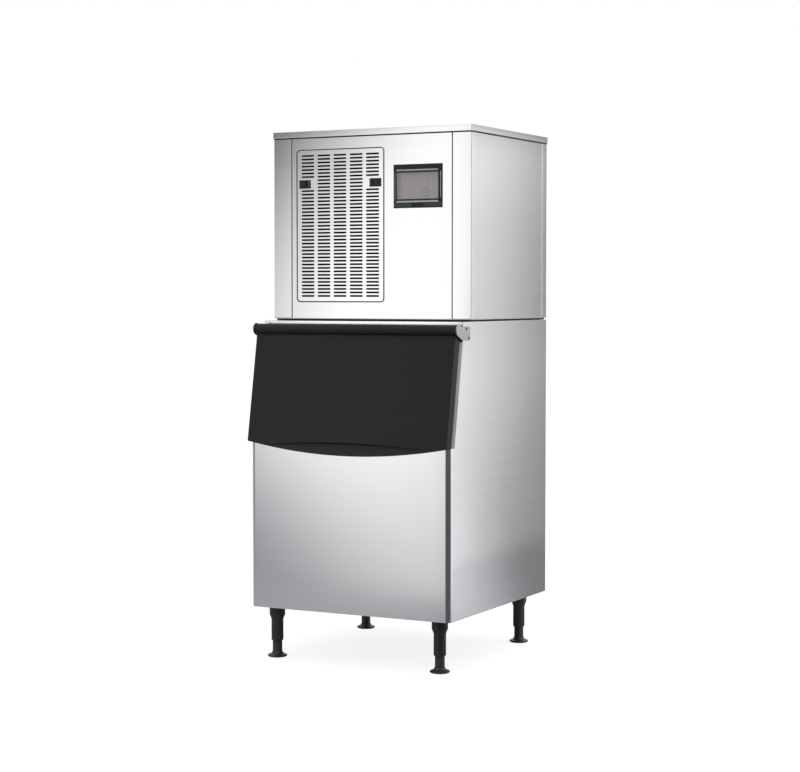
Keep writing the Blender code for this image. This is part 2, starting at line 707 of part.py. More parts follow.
def build_door(mats):
    """The lift-up door, modelled upright about its hinge axis and then tilted."""
    hinge = make_empty("door_hinge", (0.0, HINGE_Y, HINGE_Z))
    rim = FACE + DOOR_DEPTH
    bottom = -DOOR_LENGTH

    # Bowed lower edge: a circular arc through both corners and the grip's lowest point.
    radius = (DOOR_HALF**2 + GRIP_DROP**2) / (2 * GRIP_DROP)
    steps = 24
    half_angle = math.asin(DOOR_HALF / radius)
    angles = [half_angle * (2 * k / steps - 1) for k in range(steps + 1)]
    bow = [(radius * math.sin(t), bottom - GRIP_DROP + radius * (1 - math.cos(t))) for t in angles]
    shell = prism([*bow, (DOOR_HALF, -GROOVE), (-DOOR_HALF, -GROOVE)], "Y", FACE, rim)
    heel = bottom + DOOR_DEPTH * SLOPE  # level with the corners once tilted, so the back clears the sill
    behind_lip = block((-X - WALL, FACE + LIP_DEPTH, bottom - WALL), (X + WALL, rim + WALL, heel))
    shell = cut(shell, behind_lip)

    # Round top rail on the hinge axis, with a neck down to the face.
    rail = rod(RAIL_RADIUS, (0, 0, 0), "X", -RAIL_HALF, RAIL_HALF, 20)
    ends = []
    for edge in rail.edges:
        one, other = (vert.co for vert in edge.verts)
        if abs(one.x - other.x) < GAP and min(one.yz.length, other.yz.length) > GAP:
            ends.append(edge)
    bmesh.ops.bevel(rail, geom=ends, offset=RAIL_BEVEL, segments=2, profile=0.5, affect="EDGES")
    neck_half = DOOR_HALF - DOOR_WALL / 2
    neck_low = -GROOVE - DOOR_WALL / 2
    neck = block((-neck_half, FACE + DOOR_WALL, neck_low), (neck_half, RAIL_RADIUS / 2, 0.0))
    shell = join(shell, join(rail, neck))

    # Hollow back, and the scoop along the lip where the fingers go.
    inner = DOOR_HALF - DOOR_WALL
    low, high = bottom + BOTTOM_RAIL, -GROOVE - DOOR_WALL
    hollow = block((-inner, FACE + DOOR_WALL, low), (inner, rim + WALL, high))
    bores = []
    for side in (-1, 1):
        start, end = side * (RAIL_HALF - PIN_LENGTH), side * (X + WALL)
        bores.append(rod(PIN_RADIUS + PIN_PLAY, (0, 0, 0), "X", start, end, SMALL))
    shell = cut(shell, scoop_cutter(radius, bottom), hollow, *bores)
    door_piece(shell, "door_shell", mats["black_plastic"], hinge, smooth=True)

    fit = inner - GAP
    panel = block((-fit, rim - DOOR_INNER, low + GAP), (fit, rim, high - GAP))
    door_piece(panel, "door_inner_panel", mats["black_plastic"], hinge)

    edge = DOOR_HALF - DOOR_WALL / 2
    seal_low, seal_high = bottom + BOTTOM_RAIL / 2, neck_low
    seal = block((-edge, rim + GAP, seal_low), (edge, rim + DOOR_SEAL, seal_high))
    inside = edge - DOOR_SEAL_WIDTH
    space = block(
        (-inside, rim - WALL, seal_low + DOOR_SEAL_WIDTH),
        (inside, rim + WALL, seal_high - DOOR_SEAL_WIDTH),
    )
    door_piece(cut(seal, space), "door_gasket", mats["rubber"], hinge)
    hinge.rotation_euler = (-DOOR_TILT, 0.0, 0.0)


def door_piece(shape, name, material, hinge, smooth=False):
    """A piece of the door: its origin is the hinge axis, and it hangs from the hinge empty."""
    piece = finish(shape, name, material, smooth=smooth)
    piece.parent = hinge
    return piece


def scoop_cutter(radius, bottom):
    """The lens-shaped scoop: deepest at its upper line, running out to nothing at the lip's edge."""
    shape = bmesh.new()
    reach = DOOR_HALF - GRIP_SIDE
    rows = []
    steps = 20
    lip_edge = 2 * GAP
    for k in range(steps + 1):
        x = reach * (2 * k / steps - 1)
        share = 1 - (x / reach) ** 2
        low = bottom - GRIP_DROP + radius - math.sqrt(radius**2 - x**2)
        end = bottom - GRIP_DROP + radius - math.sqrt(radius**2 - reach**2)
        high = end + (bottom + GRIP_RISE - end) * share
        high = max(high, low + GAP / 2)
        depth = GRIP_DEPTH * share + GAP
        rows.append(
            [
                shape.verts.new((x, FACE - lip_edge, high)),
                shape.verts.new((x, FACE + depth, high)),
                shape.verts.new((x, FACE + lip_edge, low - lip_edge)),
                shape.verts.new((x, FACE - lip_edge, low - lip_edge)),
            ]
        )
    for here, after in zip(rows, rows[1:]):
        for k in range(4):
            n = (k + 1) % 4
            shape.faces.new((here[k], after[k], after[n], here[n]))
    shape.faces.new(rows[0])
    shape.faces.new(rows[-1][::-1])
    bmesh.ops.recalc_face_normals(shape, faces=shape.faces)
    return shape


def build_hinge_brackets(mats, group):
    """A pressed bracket on each side of the bin, with the pin that the door turns on."""
    corner = math.atan2(-EAR_DROP, EAR_FOOT)
    start = corner - math.acos(EAR_RADIUS / math.hypot(EAR_DROP, EAR_FOOT))
    stop = math.asin(EAR_TOP / EAR_RADIUS) - 2 * math.pi
    steps = 12
    lobe = []
    for k in range(steps + 1):
        angle = start + (stop - start) * k / steps
        y, z = EAR_RADIUS * math.cos(angle), EAR_RADIUS * math.sin(angle)
        lobe.append((HINGE_Y + y, HINGE_Z + z))
    rear, top = HINGE_Y + EAR_REACH, HINGE_Z + EAR_TOP
    low = HINGE_Z - EAR_DROP
    outline = [*lobe, (rear, top), (rear, low), (HINGE_Y + EAR_FOOT, low)]
    pad = HINGE_Y + EAR_PAD
    inner = X + EAR_STANDOFF
    outer = inner + EAR_SHEET
    for side, name in ((-1, "left"), (1, "right")):
        ear = prism(outline, "X", side * inner, side * outer)
        near, far = sorted((side * (X + GAP), side * outer))
        seat = block((near, pad, low), (far, rear, top))
        near, far = sorted((side * X, side * inner))
        pocket = block(
            (near, pad + EAR_SHEET, low + EAR_SHEET), (far, rear - EAR_SHEET, top - EAR_SHEET)
        )
        tip = side * (RAIL_HALF - PIN_LENGTH + 2 * GAP)
        pin = rod(PIN_RADIUS, (0, HINGE_Y, HINGE_Z), "X", side * outer, tip, SMALL)
        bracket = join(cut(join(ear, seat), pocket), pin)
        finish(bracket, f"hinge_bracket_{name}", mats["stainless"], parent=group)


def build_legs(mats, group):
    """Four adjustable legs: a fixed sleeve, and a foot whose stem runs in it."""
    front = Y_BIN + LEG_INSET_FRONT
    rear = Y_BACK - LEG_INSET_REAR
    bore = LEG_STEM_RADIUS + LEG_PLAY
    top = Z_BIN - GAP
    shoulder = Z_BIN - LEG_COLLAR_HEIGHT
    sleeve = [
        (0.0, top),
        (LEG_COLLAR_RADIUS, top),
        (LEG_COLLAR_RADIUS, shoulder),
        (LEG_SLEEVE_RADIUS, shoulder - LEG_TAPER),
        (LEG_SLEEVE_RADIUS, LEG_SLEEVE_END),
        (bore, LEG_SLEEVE_END),
        (bore, LEG_SLEEVE_END + LEG_BORE_DEPTH),
        (0.0, LEG_SLEEVE_END + LEG_BORE_DEPTH),
    ]
    foot = [
        (0.0, 0.0),
        (FOOT_RADIUS, 0.0),
        (FOOT_RADIUS, FOOT_RIM),
        (FOOT_SHOULDER, FOOT_RIM + FOOT_DOME),
        (LEG_STEM_RADIUS, FOOT_RIM + FOOT_RISE),
        (LEG_STEM_RADIUS, LEG_SLEEVE_END + LEG_STEM_IN_BORE),
        (0.0, LEG_SLEEVE_END + LEG_STEM_IN_BORE),
    ]
    for side, where in ((-1, "left"), (1, "right")):
        for y, end in ((front, "front"), (rear, "rear")):
            spot = (side * (X - LEG_INSET_X), y, 0.0)
            tag = f"{end}_{where}"
            black = mats["black_plastic"]
            finish(turned(sleeve, spot), f"leg_sleeve_{tag}", black, spot, group, True)
            finish(turned(foot, spot), f"leg_foot_{tag}", black, spot, group, True)


def build_head_shell(mats, group):
    """Base pan, corner posts, side and back panels and the cover."""
    seal_x = X - SEAL_INSET
    seal_front, seal_back = Y_HEAD + SEAL_INSET, Y_BACK - SEAL_INSET
    seal = block((-seal_x, seal_front, Z_BIN_TOP + GAP), (seal_x, seal_back, Z_HEAD - GAP))
    inside = block(
        (-seal_x + SEAL_WIDTH, seal_front + SEAL_WIDTH, Z_BIN_TOP - WALL),
        (seal_x - SEAL_WIDTH, seal_back - SEAL_WIDTH, Z_HEAD + WALL),
    )
    finish(cut(seal, inside), "head_gasket", mats["rubber"], parent=group)

    # Base pan: a full plate with an upstanding rim, and the hole that the ice drops through.
    pan = block((-X, Y_HEAD, Z_HEAD), (X, Y_BACK, Z_FLOOR))
    rim_x = X - PAN_RIM_INSET
    rim_front, rim_back = Y_HEAD + PAN_RIM_INSET, Y_BACK - PAN_RIM_INSET
    rim = block((-rim_x, rim_front, Z_HEAD), (rim_x, rim_back, Z_FLOOR + PAN_RIM_HEIGHT))
    well = block(
        (-rim_x + SHEET, rim_front + SHEET, Z_FLOOR),
        (rim_x - SHEET, rim_back - SHEET, Z_FLOOR + WALL),
    )
    drop = block(
        (TROUGH_RIGHT + DROP_GAP, EVAPORATOR_Y0 - RING_WIDTH / 2, Z_HEAD - WALL),
        (X - DROP_SIDE, TROUGH_BACK, Z_FLOOR + WALL),
    )
    finish(cut(join(pan, rim), well, drop), "head_base_pan", mats["galvanised"], parent=group)

    # Corner posts: bent sheet with a folded lip along each seam.
    seam_x = X - POST_FRONT + SEAM / 2
    front_side = Y_HEAD + POST_SIDE
    rear_side = Y_BACK - POST_REAR
    rear_x = X - POST_REAR
    for side, where in ((-1, "left"), (1, "right")):
        front_path = [
            (side * seam_x, Y_HEAD + FOLD),
            (side * seam_x, Y_HEAD),
            (side * X, Y_HEAD),
            (side * X, front_side),
            (side * (X - FOLD), front_side),
        ]
        rear_path = [
            (side * (X - FOLD), rear_side),
            (side * X, rear_side),
            (side * X, Y_BACK),
            (side * rear_x, Y_BACK),
            (side * rear_x, Y_BACK - FOLD),
        ]
        for path, end in ((front_path, "front"), (rear_path, "rear")):
            post = prism(sheet_outline(path, side * SHEET), "Z", Z_SHELL, Z_SHELL_TOP)
            finish(post, f"head_post_{end}_{where}", mats["stainless"], parent=group)
        panel_x = X - PANEL_RECESS
        panel_path = [
            (side * (X - FOLD), front_side + GAP),
            (side * panel_x, front_side + GAP),
            (side * panel_x, rear_side - GAP),
            (side * (X - FOLD), rear_side - GAP),
        ]
        panel = prism(sheet_outline(panel_path, side * SHEET), "Z", Z_SHELL, Z_SHELL_TOP)
        finish(panel, f"head_side_panel_{where}", mats["stainless"], parent=group)

    # Back panel with two columns of louvre slots and the holes for the fittings.
    half = rear_x - GAP
    path = [(half, Y_BACK - FOLD), (half, Y_BACK), (-half, Y_BACK), (-half, Y_BACK - FOLD)]
    back = prism(sheet_outline(path, SHEET), "Z", Z_SHELL, Z_SHELL_TOP)
    slots = []
    for column in range(2):
        left = -X + LOUVRE_INSET + column * LOUVRE_COLUMN
        for k in range(LOUVRES):
            z = Z_FLOOR + LOUVRE_TOP - k * LOUVRE_PITCH
            low = (left, Y_BACK - WALL, z)
            slots.append(block(low, (left + LOUVRE_LENGTH, Y_BACK + WALL, z + LOUVRE_HEIGHT)))
    for x, z, radius in (gland_spot(), inlet_spot(), spout_spot()):
        slots.append(rod(radius + GAP, (x, 0, z), "Y", Y_BACK - WALL, Y_BACK + WALL, SMALL))
    finish(cut(back, merge(*slots)), "head_back_panel", mats["galvanised"], parent=group)

    # Cover: a lid with lips down over the shell.
    out = X + GAP + COVER_SHEET
    front, rear = Y_HEAD - GAP - COVER_SHEET, Y_BACK + GAP + COVER_SHEET
    cover = block((-out, front, Z_TOP - COVER_LIP), (out, rear, Z_TOP))
    under = block(
        (-out + COVER_SHEET, front + COVER_SHEET, Z_TOP - COVER_LIP - WALL),
        (out - COVER_SHEET, rear - COVER_SHEET, Z_TOP - COVER_SHEET),
    )
    finish(cut(cover, under), "head_top_cover", mats["stainless"], parent=group)


def gland_spot():
    """Place and radius of the cable gland in the back panel."""
    return -X + GLAND_INSET, Z_FLOOR + GLAND_HEIGHT, GLAND_RADIUS


def inlet_spot():
    """Place and radius of the water inlet in the back panel."""
    return X - INLET_INSET, Z_FLOOR + INLET_HEIGHT, INLET_RADIUS


def spout_spot():
    """Place and radius of the trough's drain spout in the back panel."""
    return (TROUGH_LEFT + TROUGH_RIGHT) / 2, Z_FLOOR + SPOUT_HEIGHT, SPOUT_RADIUS


def grille_frame(grow, start, end):
    """A block with the filter cover's outline, grown by a margin."""
    radius = max(GRILLE_CORNER + grow, GRILLE_CORNER / 4)
    left, right = GRILLE_X0 - grow, GRILLE_X1 + grow
    outline = rounded(left, right, GRILLE_Z0 - grow, GRILLE_Z1 + grow, radius)
    return prism(outline, "Y", start, end)


def bezel_block(inset, start, end):
    """A block with the bezel's outline, inset by a margin."""
    low, high = BEZEL_Z0 + inset, BEZEL_Z1 - inset
    return block((BEZEL_X0 + inset, start, low), (BEZEL_X1 - inset, end, high))


def build_front_panel(mats, group):
    """The head's front sheet, with a stepped seat for the filter cover and a cut-out for the bezel."""
    half = X - POST_FRONT - SEAM / 2
    path = [(-half, Y_HEAD + FOLD), (-half, Y_HEAD), (half, Y_HEAD), (half, Y_HEAD + FOLD)]
    panel = prism(sheet_outline(path, SHEET), "Z", Z_SHELL, Z_SHELL_TOP)
    seat = grille_frame(GRILLE_GAP + SHEET, Y_HEAD + SHEET / 2, LEDGE_BACK)
    panel = join(panel, seat)
    far = Y_HEAD - WALL
    panel = cut(
        panel,
        grille_frame(GRILLE_GAP, far, LEDGE_FACE),
        grille_frame(-LEDGE, far, LEDGE_BACK + WALL),
        bezel_block(BEZEL_LIP, far, Y_HEAD + WALL),
    )
    finish(panel, "head_front_panel", mats["stainless"], parent=group)


def latch_spots():
    """Each latch's name, middle along X, and the side that its bolt points to."""
    return (
        ("left", GRILLE_X0 + LATCH_INSET, -1),
        ("right", GRILLE_X1 - LATCH_INSET, 1),
    )


LATCH_Z = GRILLE_Z1 - LATCH_DROP
LATCH_FRONT = Y_HEAD - LATCH_PROUD


def latch_body(x, grow):
    """The part of a latch housing that passes through the cover."""
    half_x = LATCH_WIDTH / 2 - LATCH_FLANGE + grow
    half_z = LATCH_HEIGHT / 2 - LATCH_FLANGE + grow
    low, high = LATCH_Z - half_z, LATCH_Z + half_z
    return block((x - half_x, Y_HEAD - GAP, low), (x + half_x, LEDGE_BACK, high))


def slot_places():
    """Lower left corner of every slot, leaving out those that would run into a latch."""
    room_x = GRILLE_X1 - GRILLE_X0 - 2 * SLOT_MARGIN - SLOT_WIDTH
    room_z = GRILLE_Z1 - GRILLE_Z0 - 2 * SLOT_MARGIN - SLOT_HEIGHT
    columns, rows = int(room_x / SLOT_PITCH_X) + 1, int(room_z / SLOT_PITCH_Z) + 1
    x0 = (GRILLE_X0 + GRILLE_X1 - (columns - 1) * SLOT_PITCH_X - SLOT_WIDTH) / 2
    z0 = (GRILLE_Z0 + GRILLE_Z1 - (rows - 1) * SLOT_PITCH_Z - SLOT_HEIGHT) / 2
    reach_x = (LATCH_WIDTH + SLOT_WIDTH) / 2 + SHEET
    reach_z = (LATCH_HEIGHT + SLOT_HEIGHT) / 2
    places = []
    for column in range(columns):
        for row in range(rows):
            x, z = x0 + column * SLOT_PITCH_X, z0 + row * SLOT_PITCH_Z
            level = abs(z + SLOT_HEIGHT / 2 - LATCH_Z) < reach_z
            beside = any(abs(x + SLOT_WIDTH / 2 - spot) < reach_x for _, spot, _ in latch_spots())
            if not (level and beside):
                places.append((x, z))
    return places


def build_grille(mats, group):
    """The slotted filter cover, its two latches and the filter behind it."""
    cover = grille_frame(0.0, Y_HEAD, Y_HEAD + GRILLE_PAN)
    hollow = grille_frame(-SHEET, Y_HEAD + SHEET, Y_HEAD + WALL)
    near, far = Y_HEAD - SHEET, Y_HEAD + 3 * SHEET
    slots = []
    for x, z in slot_places():
        slots.append(block((x, near, z), (x + SLOT_WIDTH, far, z + SLOT_HEIGHT)))
    holes = merge(*[latch_body(x, GAP) for _, x, _ in latch_spots()])
    finish(cut(cover, hollow, merge(*slots), holes), "grille_cover", mats["stainless"], parent=group)

    back = Y_HEAD + SHEET + GAP
    pad = grille_frame(-SHEET - GAP, back, back + FILTER_THICKNESS)
    ways = merge(*[latch_body(x, GAP) for _, x, _ in latch_spots()])
    finish(cut(pad, ways), "air_filter", mats["black_plastic"], parent=group)

    for name, x, out in latch_spots():
        half_x, half_z = LATCH_WIDTH / 2, LATCH_HEIGHT / 2
        low, high = LATCH_Z - half_z, LATCH_Z + half_z
        flange = block((x - half_x, LATCH_FRONT, low), (x + half_x, Y_HEAD - GAP, high))
        housing = join(flange, latch_body(x, 0.0))
        recess_x, recess_z = LATCH_RECESS_WIDTH / 2, LATCH_RECESS_HEIGHT / 2
        floor = LATCH_FRONT + LATCH_RECESS_DEPTH
        recess = block(
            (x - recess_x, LATCH_FRONT - WALL, LATCH_Z - recess_z),
            (x + recess_x, floor, LATCH_Z + recess_z),
        )
        # The thumb piece rests at the outer end of its recess and slides towards the cover's middle.
        thumb_x = x + out * (LATCH_RECESS_WIDTH - THUMB_WIDTH - 2 * GAP) / 2
        travel_end = thumb_x - out * LATCH_TRAVEL
        way_low = min(thumb_x, travel_end) - SHANK / 2 - GAP
        way_high = max(thumb_x, travel_end) + SHANK / 2 + GAP
        low, high = LATCH_Z - SHANK / 2, LATCH_Z + SHANK / 2
        way = block((way_low, floor - SHEET, low - GAP), (way_high, LEDGE_BACK + WALL, high + GAP))
        finish(cut(housing, recess, way), f"latch_housing_{name}", mats["black_plastic"], parent=group)

        half_thumb = THUMB_WIDTH / 2
        tall = recess_z - GAP
        thumb = block(
            (thumb_x - half_thumb, LATCH_FRONT - THUMB_PROUD, LATCH_Z - tall),
            (thumb_x + half_thumb, floor - GAP, LATCH_Z + tall),
        )
        behind = LEDGE_BACK + GAP
        shank = block(
            (thumb_x - SHANK / 2, floor - 2 * GAP, low),
            (thumb_x + SHANK / 2, behind + TONGUE / 2, high),
        )
        tip = (GRILLE_X0 if out < 0 else GRILLE_X1) + out * (TONGUE_CATCH - LEDGE)
        ends = sorted((tip, thumb_x - out * SHANK / 2))
        tongue = block((ends[0], behind, low), (ends[1], behind + TONGUE, high))
        spot = (thumb_x, LATCH_FRONT, LATCH_Z)
        finish(join(thumb, shank, tongue), f"latch_slider_{name}", mats["black_plastic"], spot, group)


WINDOW_X0, WINDOW_X1 = BEZEL_X0 + WINDOW_SIDE, BEZEL_X1 - WINDOW_SIDE
WINDOW_Z0, WINDOW_Z1 = BEZEL_Z0 + WINDOW_BOTTOM, BEZEL_Z1 - WINDOW_TOP
FLAP_Z = WINDOW_Z1 - FLAP_BARREL - 2 * GAP
FLAP_Y = Y_HEAD - BEZEL_PROUD + FLAP_BARREL
BEZEL_BACK = Y_HEAD + BEZEL_DEPTH


def build_controls(mats, group):
    """Control window: bezel, clear flap, the panel and button behind it, and the control box."""
    front = Y_HEAD - BEZEL_PROUD
    flange = bezel_block(0.0, front, Y_HEAD - GAP)
    bezel = join(flange, bezel_block(BEZEL_LIP + GAP, Y_HEAD - SHEET, BEZEL_BACK))
    window = block((WINDOW_X0, front - WALL, WINDOW_Z0), (WINDOW_X1, BEZEL_BACK + WALL, WINDOW_Z1))
    middle = (WINDOW_X0 + WINDOW_X1) / 2
    notch = block(
        (middle - NOTCH_WIDTH / 2, front - WALL, WINDOW_Z0 - NOTCH_HEIGHT),
        (middle + NOTCH_WIDTH / 2, Y_HEAD, WINDOW_Z0 + SHEET),
    )
    pin_start, pin_end = WINDOW_X0 - FLAP_PIN_REACH, WINDOW_X1 + FLAP_PIN_REACH
    pin_way = rod(FLAP_PIN + GAP, (0, FLAP_Y, FLAP_Z), "X", pin_start, pin_end, SMALL)
    finish(cut(bezel, window, notch, pin_way), "control_bezel", mats["black_plastic"], parent=group)

    keypad_back = BEZEL_BACK - GAP
    keypad_front = keypad_back - KEYPAD_THICKNESS
    button_x, button_z = BEZEL_X1 - BUTTON_INSET, BEZEL_Z0 + BUTTON_LOW
    keypad = block(
        (WINDOW_X0 + GAP, keypad_front, WINDOW_Z0 + GAP),
        (WINDOW_X1 - GAP, keypad_back, WINDOW_Z1 - GAP),
    )
    centre = (button_x, 0, button_z)
    hole = rod(BUTTON_RADIUS + GAP, centre, "Y", keypad_front - WALL, keypad_back + WALL)
    finish(cut(keypad, hole), "control_panel", mats["keypad_grey"], parent=group)
    button_front, button_back = keypad_front - BUTTON_PROUD, keypad_back - BUTTON_TRAVEL - GAP
    button = rod(BUTTON_RADIUS, centre, "Y", button_front, button_back)
    spot = (button_x, button_front, button_z)
    finish(button, "power_button", mats["keypad_grey"], spot, group, True)

    left, right = WINDOW_X0 + FLAP_SIDE_PLAY, WINDOW_X1 - FLAP_SIDE_PLAY
    half = FLAP_SHEET / 2
    sheet = block((left, FLAP_Y - half, WINDOW_Z0 + 2 * GAP), (right, FLAP_Y + half, FLAP_Z))
    barrel = rod(FLAP_BARREL, (0, FLAP_Y, FLAP_Z), "X", left, right, SMALL)
    pin = rod(FLAP_PIN, (0, FLAP_Y, FLAP_Z), "X", pin_start + GAP, pin_end - GAP, SMALL)
    hinge = (middle, FLAP_Y, FLAP_Z)
    finish(join(sheet, barrel, pin), "control_flap", mats["smoked_cover"], hinge, group)

    box = block(
        (DIVIDER_X + DIVIDER_THICKNESS / 2 + GAP, BEZEL_BACK + GAP, BEZEL_Z0 - FOLD),
        (BEZEL_X1 + BEZEL_LIP, BEZEL_BACK + CONTROL_BOX_DEPTH, BEZEL_Z1 + FOLD),
    )
    bmesh.ops.bevel(box, geom=list(box.edges), offset=SHEET, segments=1, affect="EDGES")
    finish(box, "control_box", mats["galvanised"], parent=group)


def comb_outline(left, right, front, back, fins, depth):
    """Plan of a finned core: straight fins front and back with a solid middle."""
    pitch = (right - left) / (fins - 0.5)
    outline = []
    for k in range(fins):
        x = left + k * pitch
        outline += [(x, front), (x + pitch / 2, front)]
        if k < fins - 1:
            outline += [(x + pitch / 2, front + depth), (x + pitch, front + depth)]
    outline.append((right, back))
    for k in reversed(range(fins)):
        x = left + k * pitch
        if k < fins - 1:
            outline += [(x + pitch, back - depth), (x + pitch / 2, back - depth)]
            outline.append((x + pitch / 2, back))
        outline.append((x, back))
    return outline


def build_cooling(mats, group):
    """Condenser, fan and compressor in the left half of the head."""
    left, right, low, high = COIL_X0, COIL_X1, COIL_Z0, COIL_Z1
    middle = (left + right) / 2
    front = LEDGE_BACK + COIL_BEHIND
    back = front + COIL_DEPTH
    core_front, core_back = front + COIL_PLATE, back - COIL_PLATE
    fins = comb_outline(left, right, core_front, core_back, COIL_FINS, FIN_DEPTH)
    coil = prism(fins, "Z", low, high)
    foot = Z_FLOOR + GAP
    plates = [
        block((left - COIL_PLATE, front, foot), (left + COIL_PLATE / 4, back, high + COIL_PLATE)),
        block((right - COIL_PLATE / 4, front, foot), (right + COIL_PLATE, back, high + COIL_PLATE)),
    ]
    finish(join(coil, *plates), "condenser_coil", mats["aluminium"], parent=group)

    # Shroud: a plate behind the coil with a round opening and a collar for the fan.
    shroud_front = back + GAP
    shroud_back = shroud_front + SHEET
    fan_z = (low + high) / 2
    plate = block(
        (left - COIL_PLATE, shroud_front, foot),
        (right + COIL_PLATE, shroud_back, high + COIL_PLATE),
    )
    collar_end = shroud_back + SHROUD_COLLAR
    axis = (middle, 0, fan_z)
    collar = rod(SHROUD_RADIUS + SHEET, axis, "Y", shroud_front + GAP, collar_end, FINE)
    hole = rod(SHROUD_RADIUS, axis, "Y", shroud_front - WALL, collar_end + WALL, FINE)
    finish(cut(join(plate, collar), hole), "fan_shroud", mats["galvanised"], parent=group, smooth=True)

    # Motor on a cross bracket that stands off the shroud outside the collar.
    arm_y = shroud_back + GAP + MOTOR_STANDOFF
    arm_back = arm_y + MOTOR_PLATE
    reach = SHROUD_RADIUS + SHEET + 2 * GAP
    width = MOTOR_ARM / 2
    tip = reach + MOTOR_PLATE
    bars = []
    for direction in (-1, 1):
        low_z, high_z = sorted((fan_z + direction * reach, fan_z + direction * tip))
        near = (middle - width, shroud_back + GAP, low_z)
        bars.append(block(near, (middle + width, arm_back, high_z)))
    upright = block((middle - width, arm_y, fan_z - tip), (middle + width, arm_back, fan_z + tip))
    motor_end = arm_y + MOTOR_LENGTH
    body = rod(MOTOR_RADIUS, axis, "Y", arm_y - MOTOR_PLATE, motor_end)
    bore_end = arm_y + FAN_SHAFT_LENGTH
    bore = rod(FAN_SHAFT + SHAFT_PLAY, axis, "Y", arm_y - WALL, bore_end, SMALL)
    motor = cut(join(upright, *bars, body), bore)
    finish(motor, "fan_motor", mats["black_steel"], parent=group, smooth=True)

    hub_end = arm_y - MOTOR_PLATE - 2 * GAP
    hub_start = hub_end - FAN_HUB_LENGTH
    hub = rod(FAN_HUB_RADIUS, axis, "Y", hub_start, hub_end)
    shaft = rod(FAN_SHAFT, axis, "Y", hub_end - GAP, bore_end - 2 * GAP, SMALL)
    blade_y = (hub_start + hub_end) / 2
    fan = join(hub, shaft, *[fan_blade(k, middle, blade_y, fan_z) for k in range(FAN_BLADES)])
    finish(fan, "fan_blade", mats["aluminium"], (middle, blade_y, fan_z), group)

    build_compressor(mats, group, motor_end)


def fan_blade(index, x, y, z):
    """One twisted blade from the hub to the tip: a thin strip whose two faces follow a helix."""
    shape = bmesh.new()
    stations = np.linspace(FAN_HUB_RADIUS - FAN_BLADE_ROOT, FAN_TIP_RADIUS, 4)
    across = np.linspace(-1.0, 1.0, 4)
    rows = []
    for offset in (-FAN_BLADE_THICKNESS / 2, FAN_BLADE_THICKNESS / 2):
        for r in stations:
            half_sweep = FAN_SWEEP_HUB + (FAN_SWEEP_TIP - FAN_SWEEP_HUB) * r / FAN_TIP_RADIUS
            for s in across:
                angle = s * half_sweep + 2 * math.pi * index / FAN_BLADES
                lift = FAN_BLADE_PITCH / 2 * s + offset
                place = (x + r * math.cos(angle), y + lift, z + r * math.sin(angle))
                rows.append(shape.verts.new(place))
    columns = len(across)
    layer = columns * len(stations)

    def at(face, i, j):
        return rows[face * layer + i * columns + j]

    last_i, last_j = len(stations) - 1, columns - 1
    for i in range(last_i):
        for j in range(last_j):
            for face in (0, 1):
                ring = (at(face, i, j), at(face, i + 1, j), at(face, i + 1, j + 1), at(face, i, j + 1))
                shape.faces.new(ring)
        for j in (0, last_j):
            shape.faces.new((at(0, i, j), at(1, i, j), at(1, i + 1, j), at(0, i + 1, j)))
    for j in range(last_j):
        for i in (0, last_i):
            shape.faces.new((at(0, i, j), at(0, i, j + 1), at(1, i, j + 1), at(1, i, j)))
    bmesh.ops.recalc_face_normals(shape, faces=shape.faces)
    return shape


def build_compressor(mats, group, motor_end):
    """Welded compressor on a base plate with rubber grommets, and the filter drier."""
    wall_x = DIVIDER_X - DIVIDER_THICKNESS / 2
    x = (wall_x - X) / 2
    y = motor_end + COMPRESSOR_BEHIND + COMPRESSOR_PLATE / 2
    foot = Z_FLOOR + GAP
    plate_z = foot + GROMMET_HEIGHT
    profile = []
    for out, up in COMPRESSOR_SHAPE:
        profile.append((COMPRESSOR_RADIUS * out, plate_z + COMPRESSOR_HEIGHT * up))
    can = turned(profile, (x, y, 0), sides=20)
    half = COMPRESSOR_PLATE / 2
    outline = rounded(x - half, x + half, y - half, y + half, GROMMET_RADIUS)
    plate = prism(outline, "Z", plate_z, plate_z + 2 * SHEET)
    spread = half - GROMMET_RADIUS
    feet = []
    for a in (-1, 1):
        for b in (-1, 1):
            centre = (x + a * spread, y + b * spread, 0)
            feet.append(rod(GROMMET_RADIUS, centre, "Z", foot, plate_z + SHEET, SMALL))
    base = plate_z + TERMINAL_BASE
    terminal = block(
        (x - TERMINAL_SIZE / 2, y - COMPRESSOR_RADIUS - TERMINAL_PROUD, base),
        (x + TERMINAL_SIZE / 2, y - COMPRESSOR_RADIUS / 2, base + TERMINAL_SIZE),
    )
    can = join(can, plate, terminal, *feet)
    finish(can, "compressor", mats["black_steel"], parent=group, smooth=True)

    centre = (wall_x - GAP - 2 * DRIER_RADIUS, y, 0)
    low = Z_FLOOR + DRIER_BASE
    neck = DRIER_NECK
    drier = turned(
        [
            (0.0, low),
            (neck, low),
            (neck, low + DRIER_RADIUS),
            (DRIER_RADIUS, low + 2 * DRIER_RADIUS),
            (DRIER_RADIUS, low + DRIER_LENGTH),
            (neck, low + DRIER_LENGTH + DRIER_RADIUS),
            (neck, low + DRIER_LENGTH + 2 * DRIER_RADIUS),
            (0.0, low + DRIER_LENGTH + 2 * DRIER_RADIUS),
        ],
        centre,
        sides=SMALL,
    )
    mid = low + DRIER_LENGTH / 2
    clip = block((centre[0], y - neck, mid), (wall_x - GAP, y + neck, mid + 2 * DRIER_RADIUS))
    finish(join(drier, clip), "filter_drier", mats["copper"], parent=group, smooth=True)


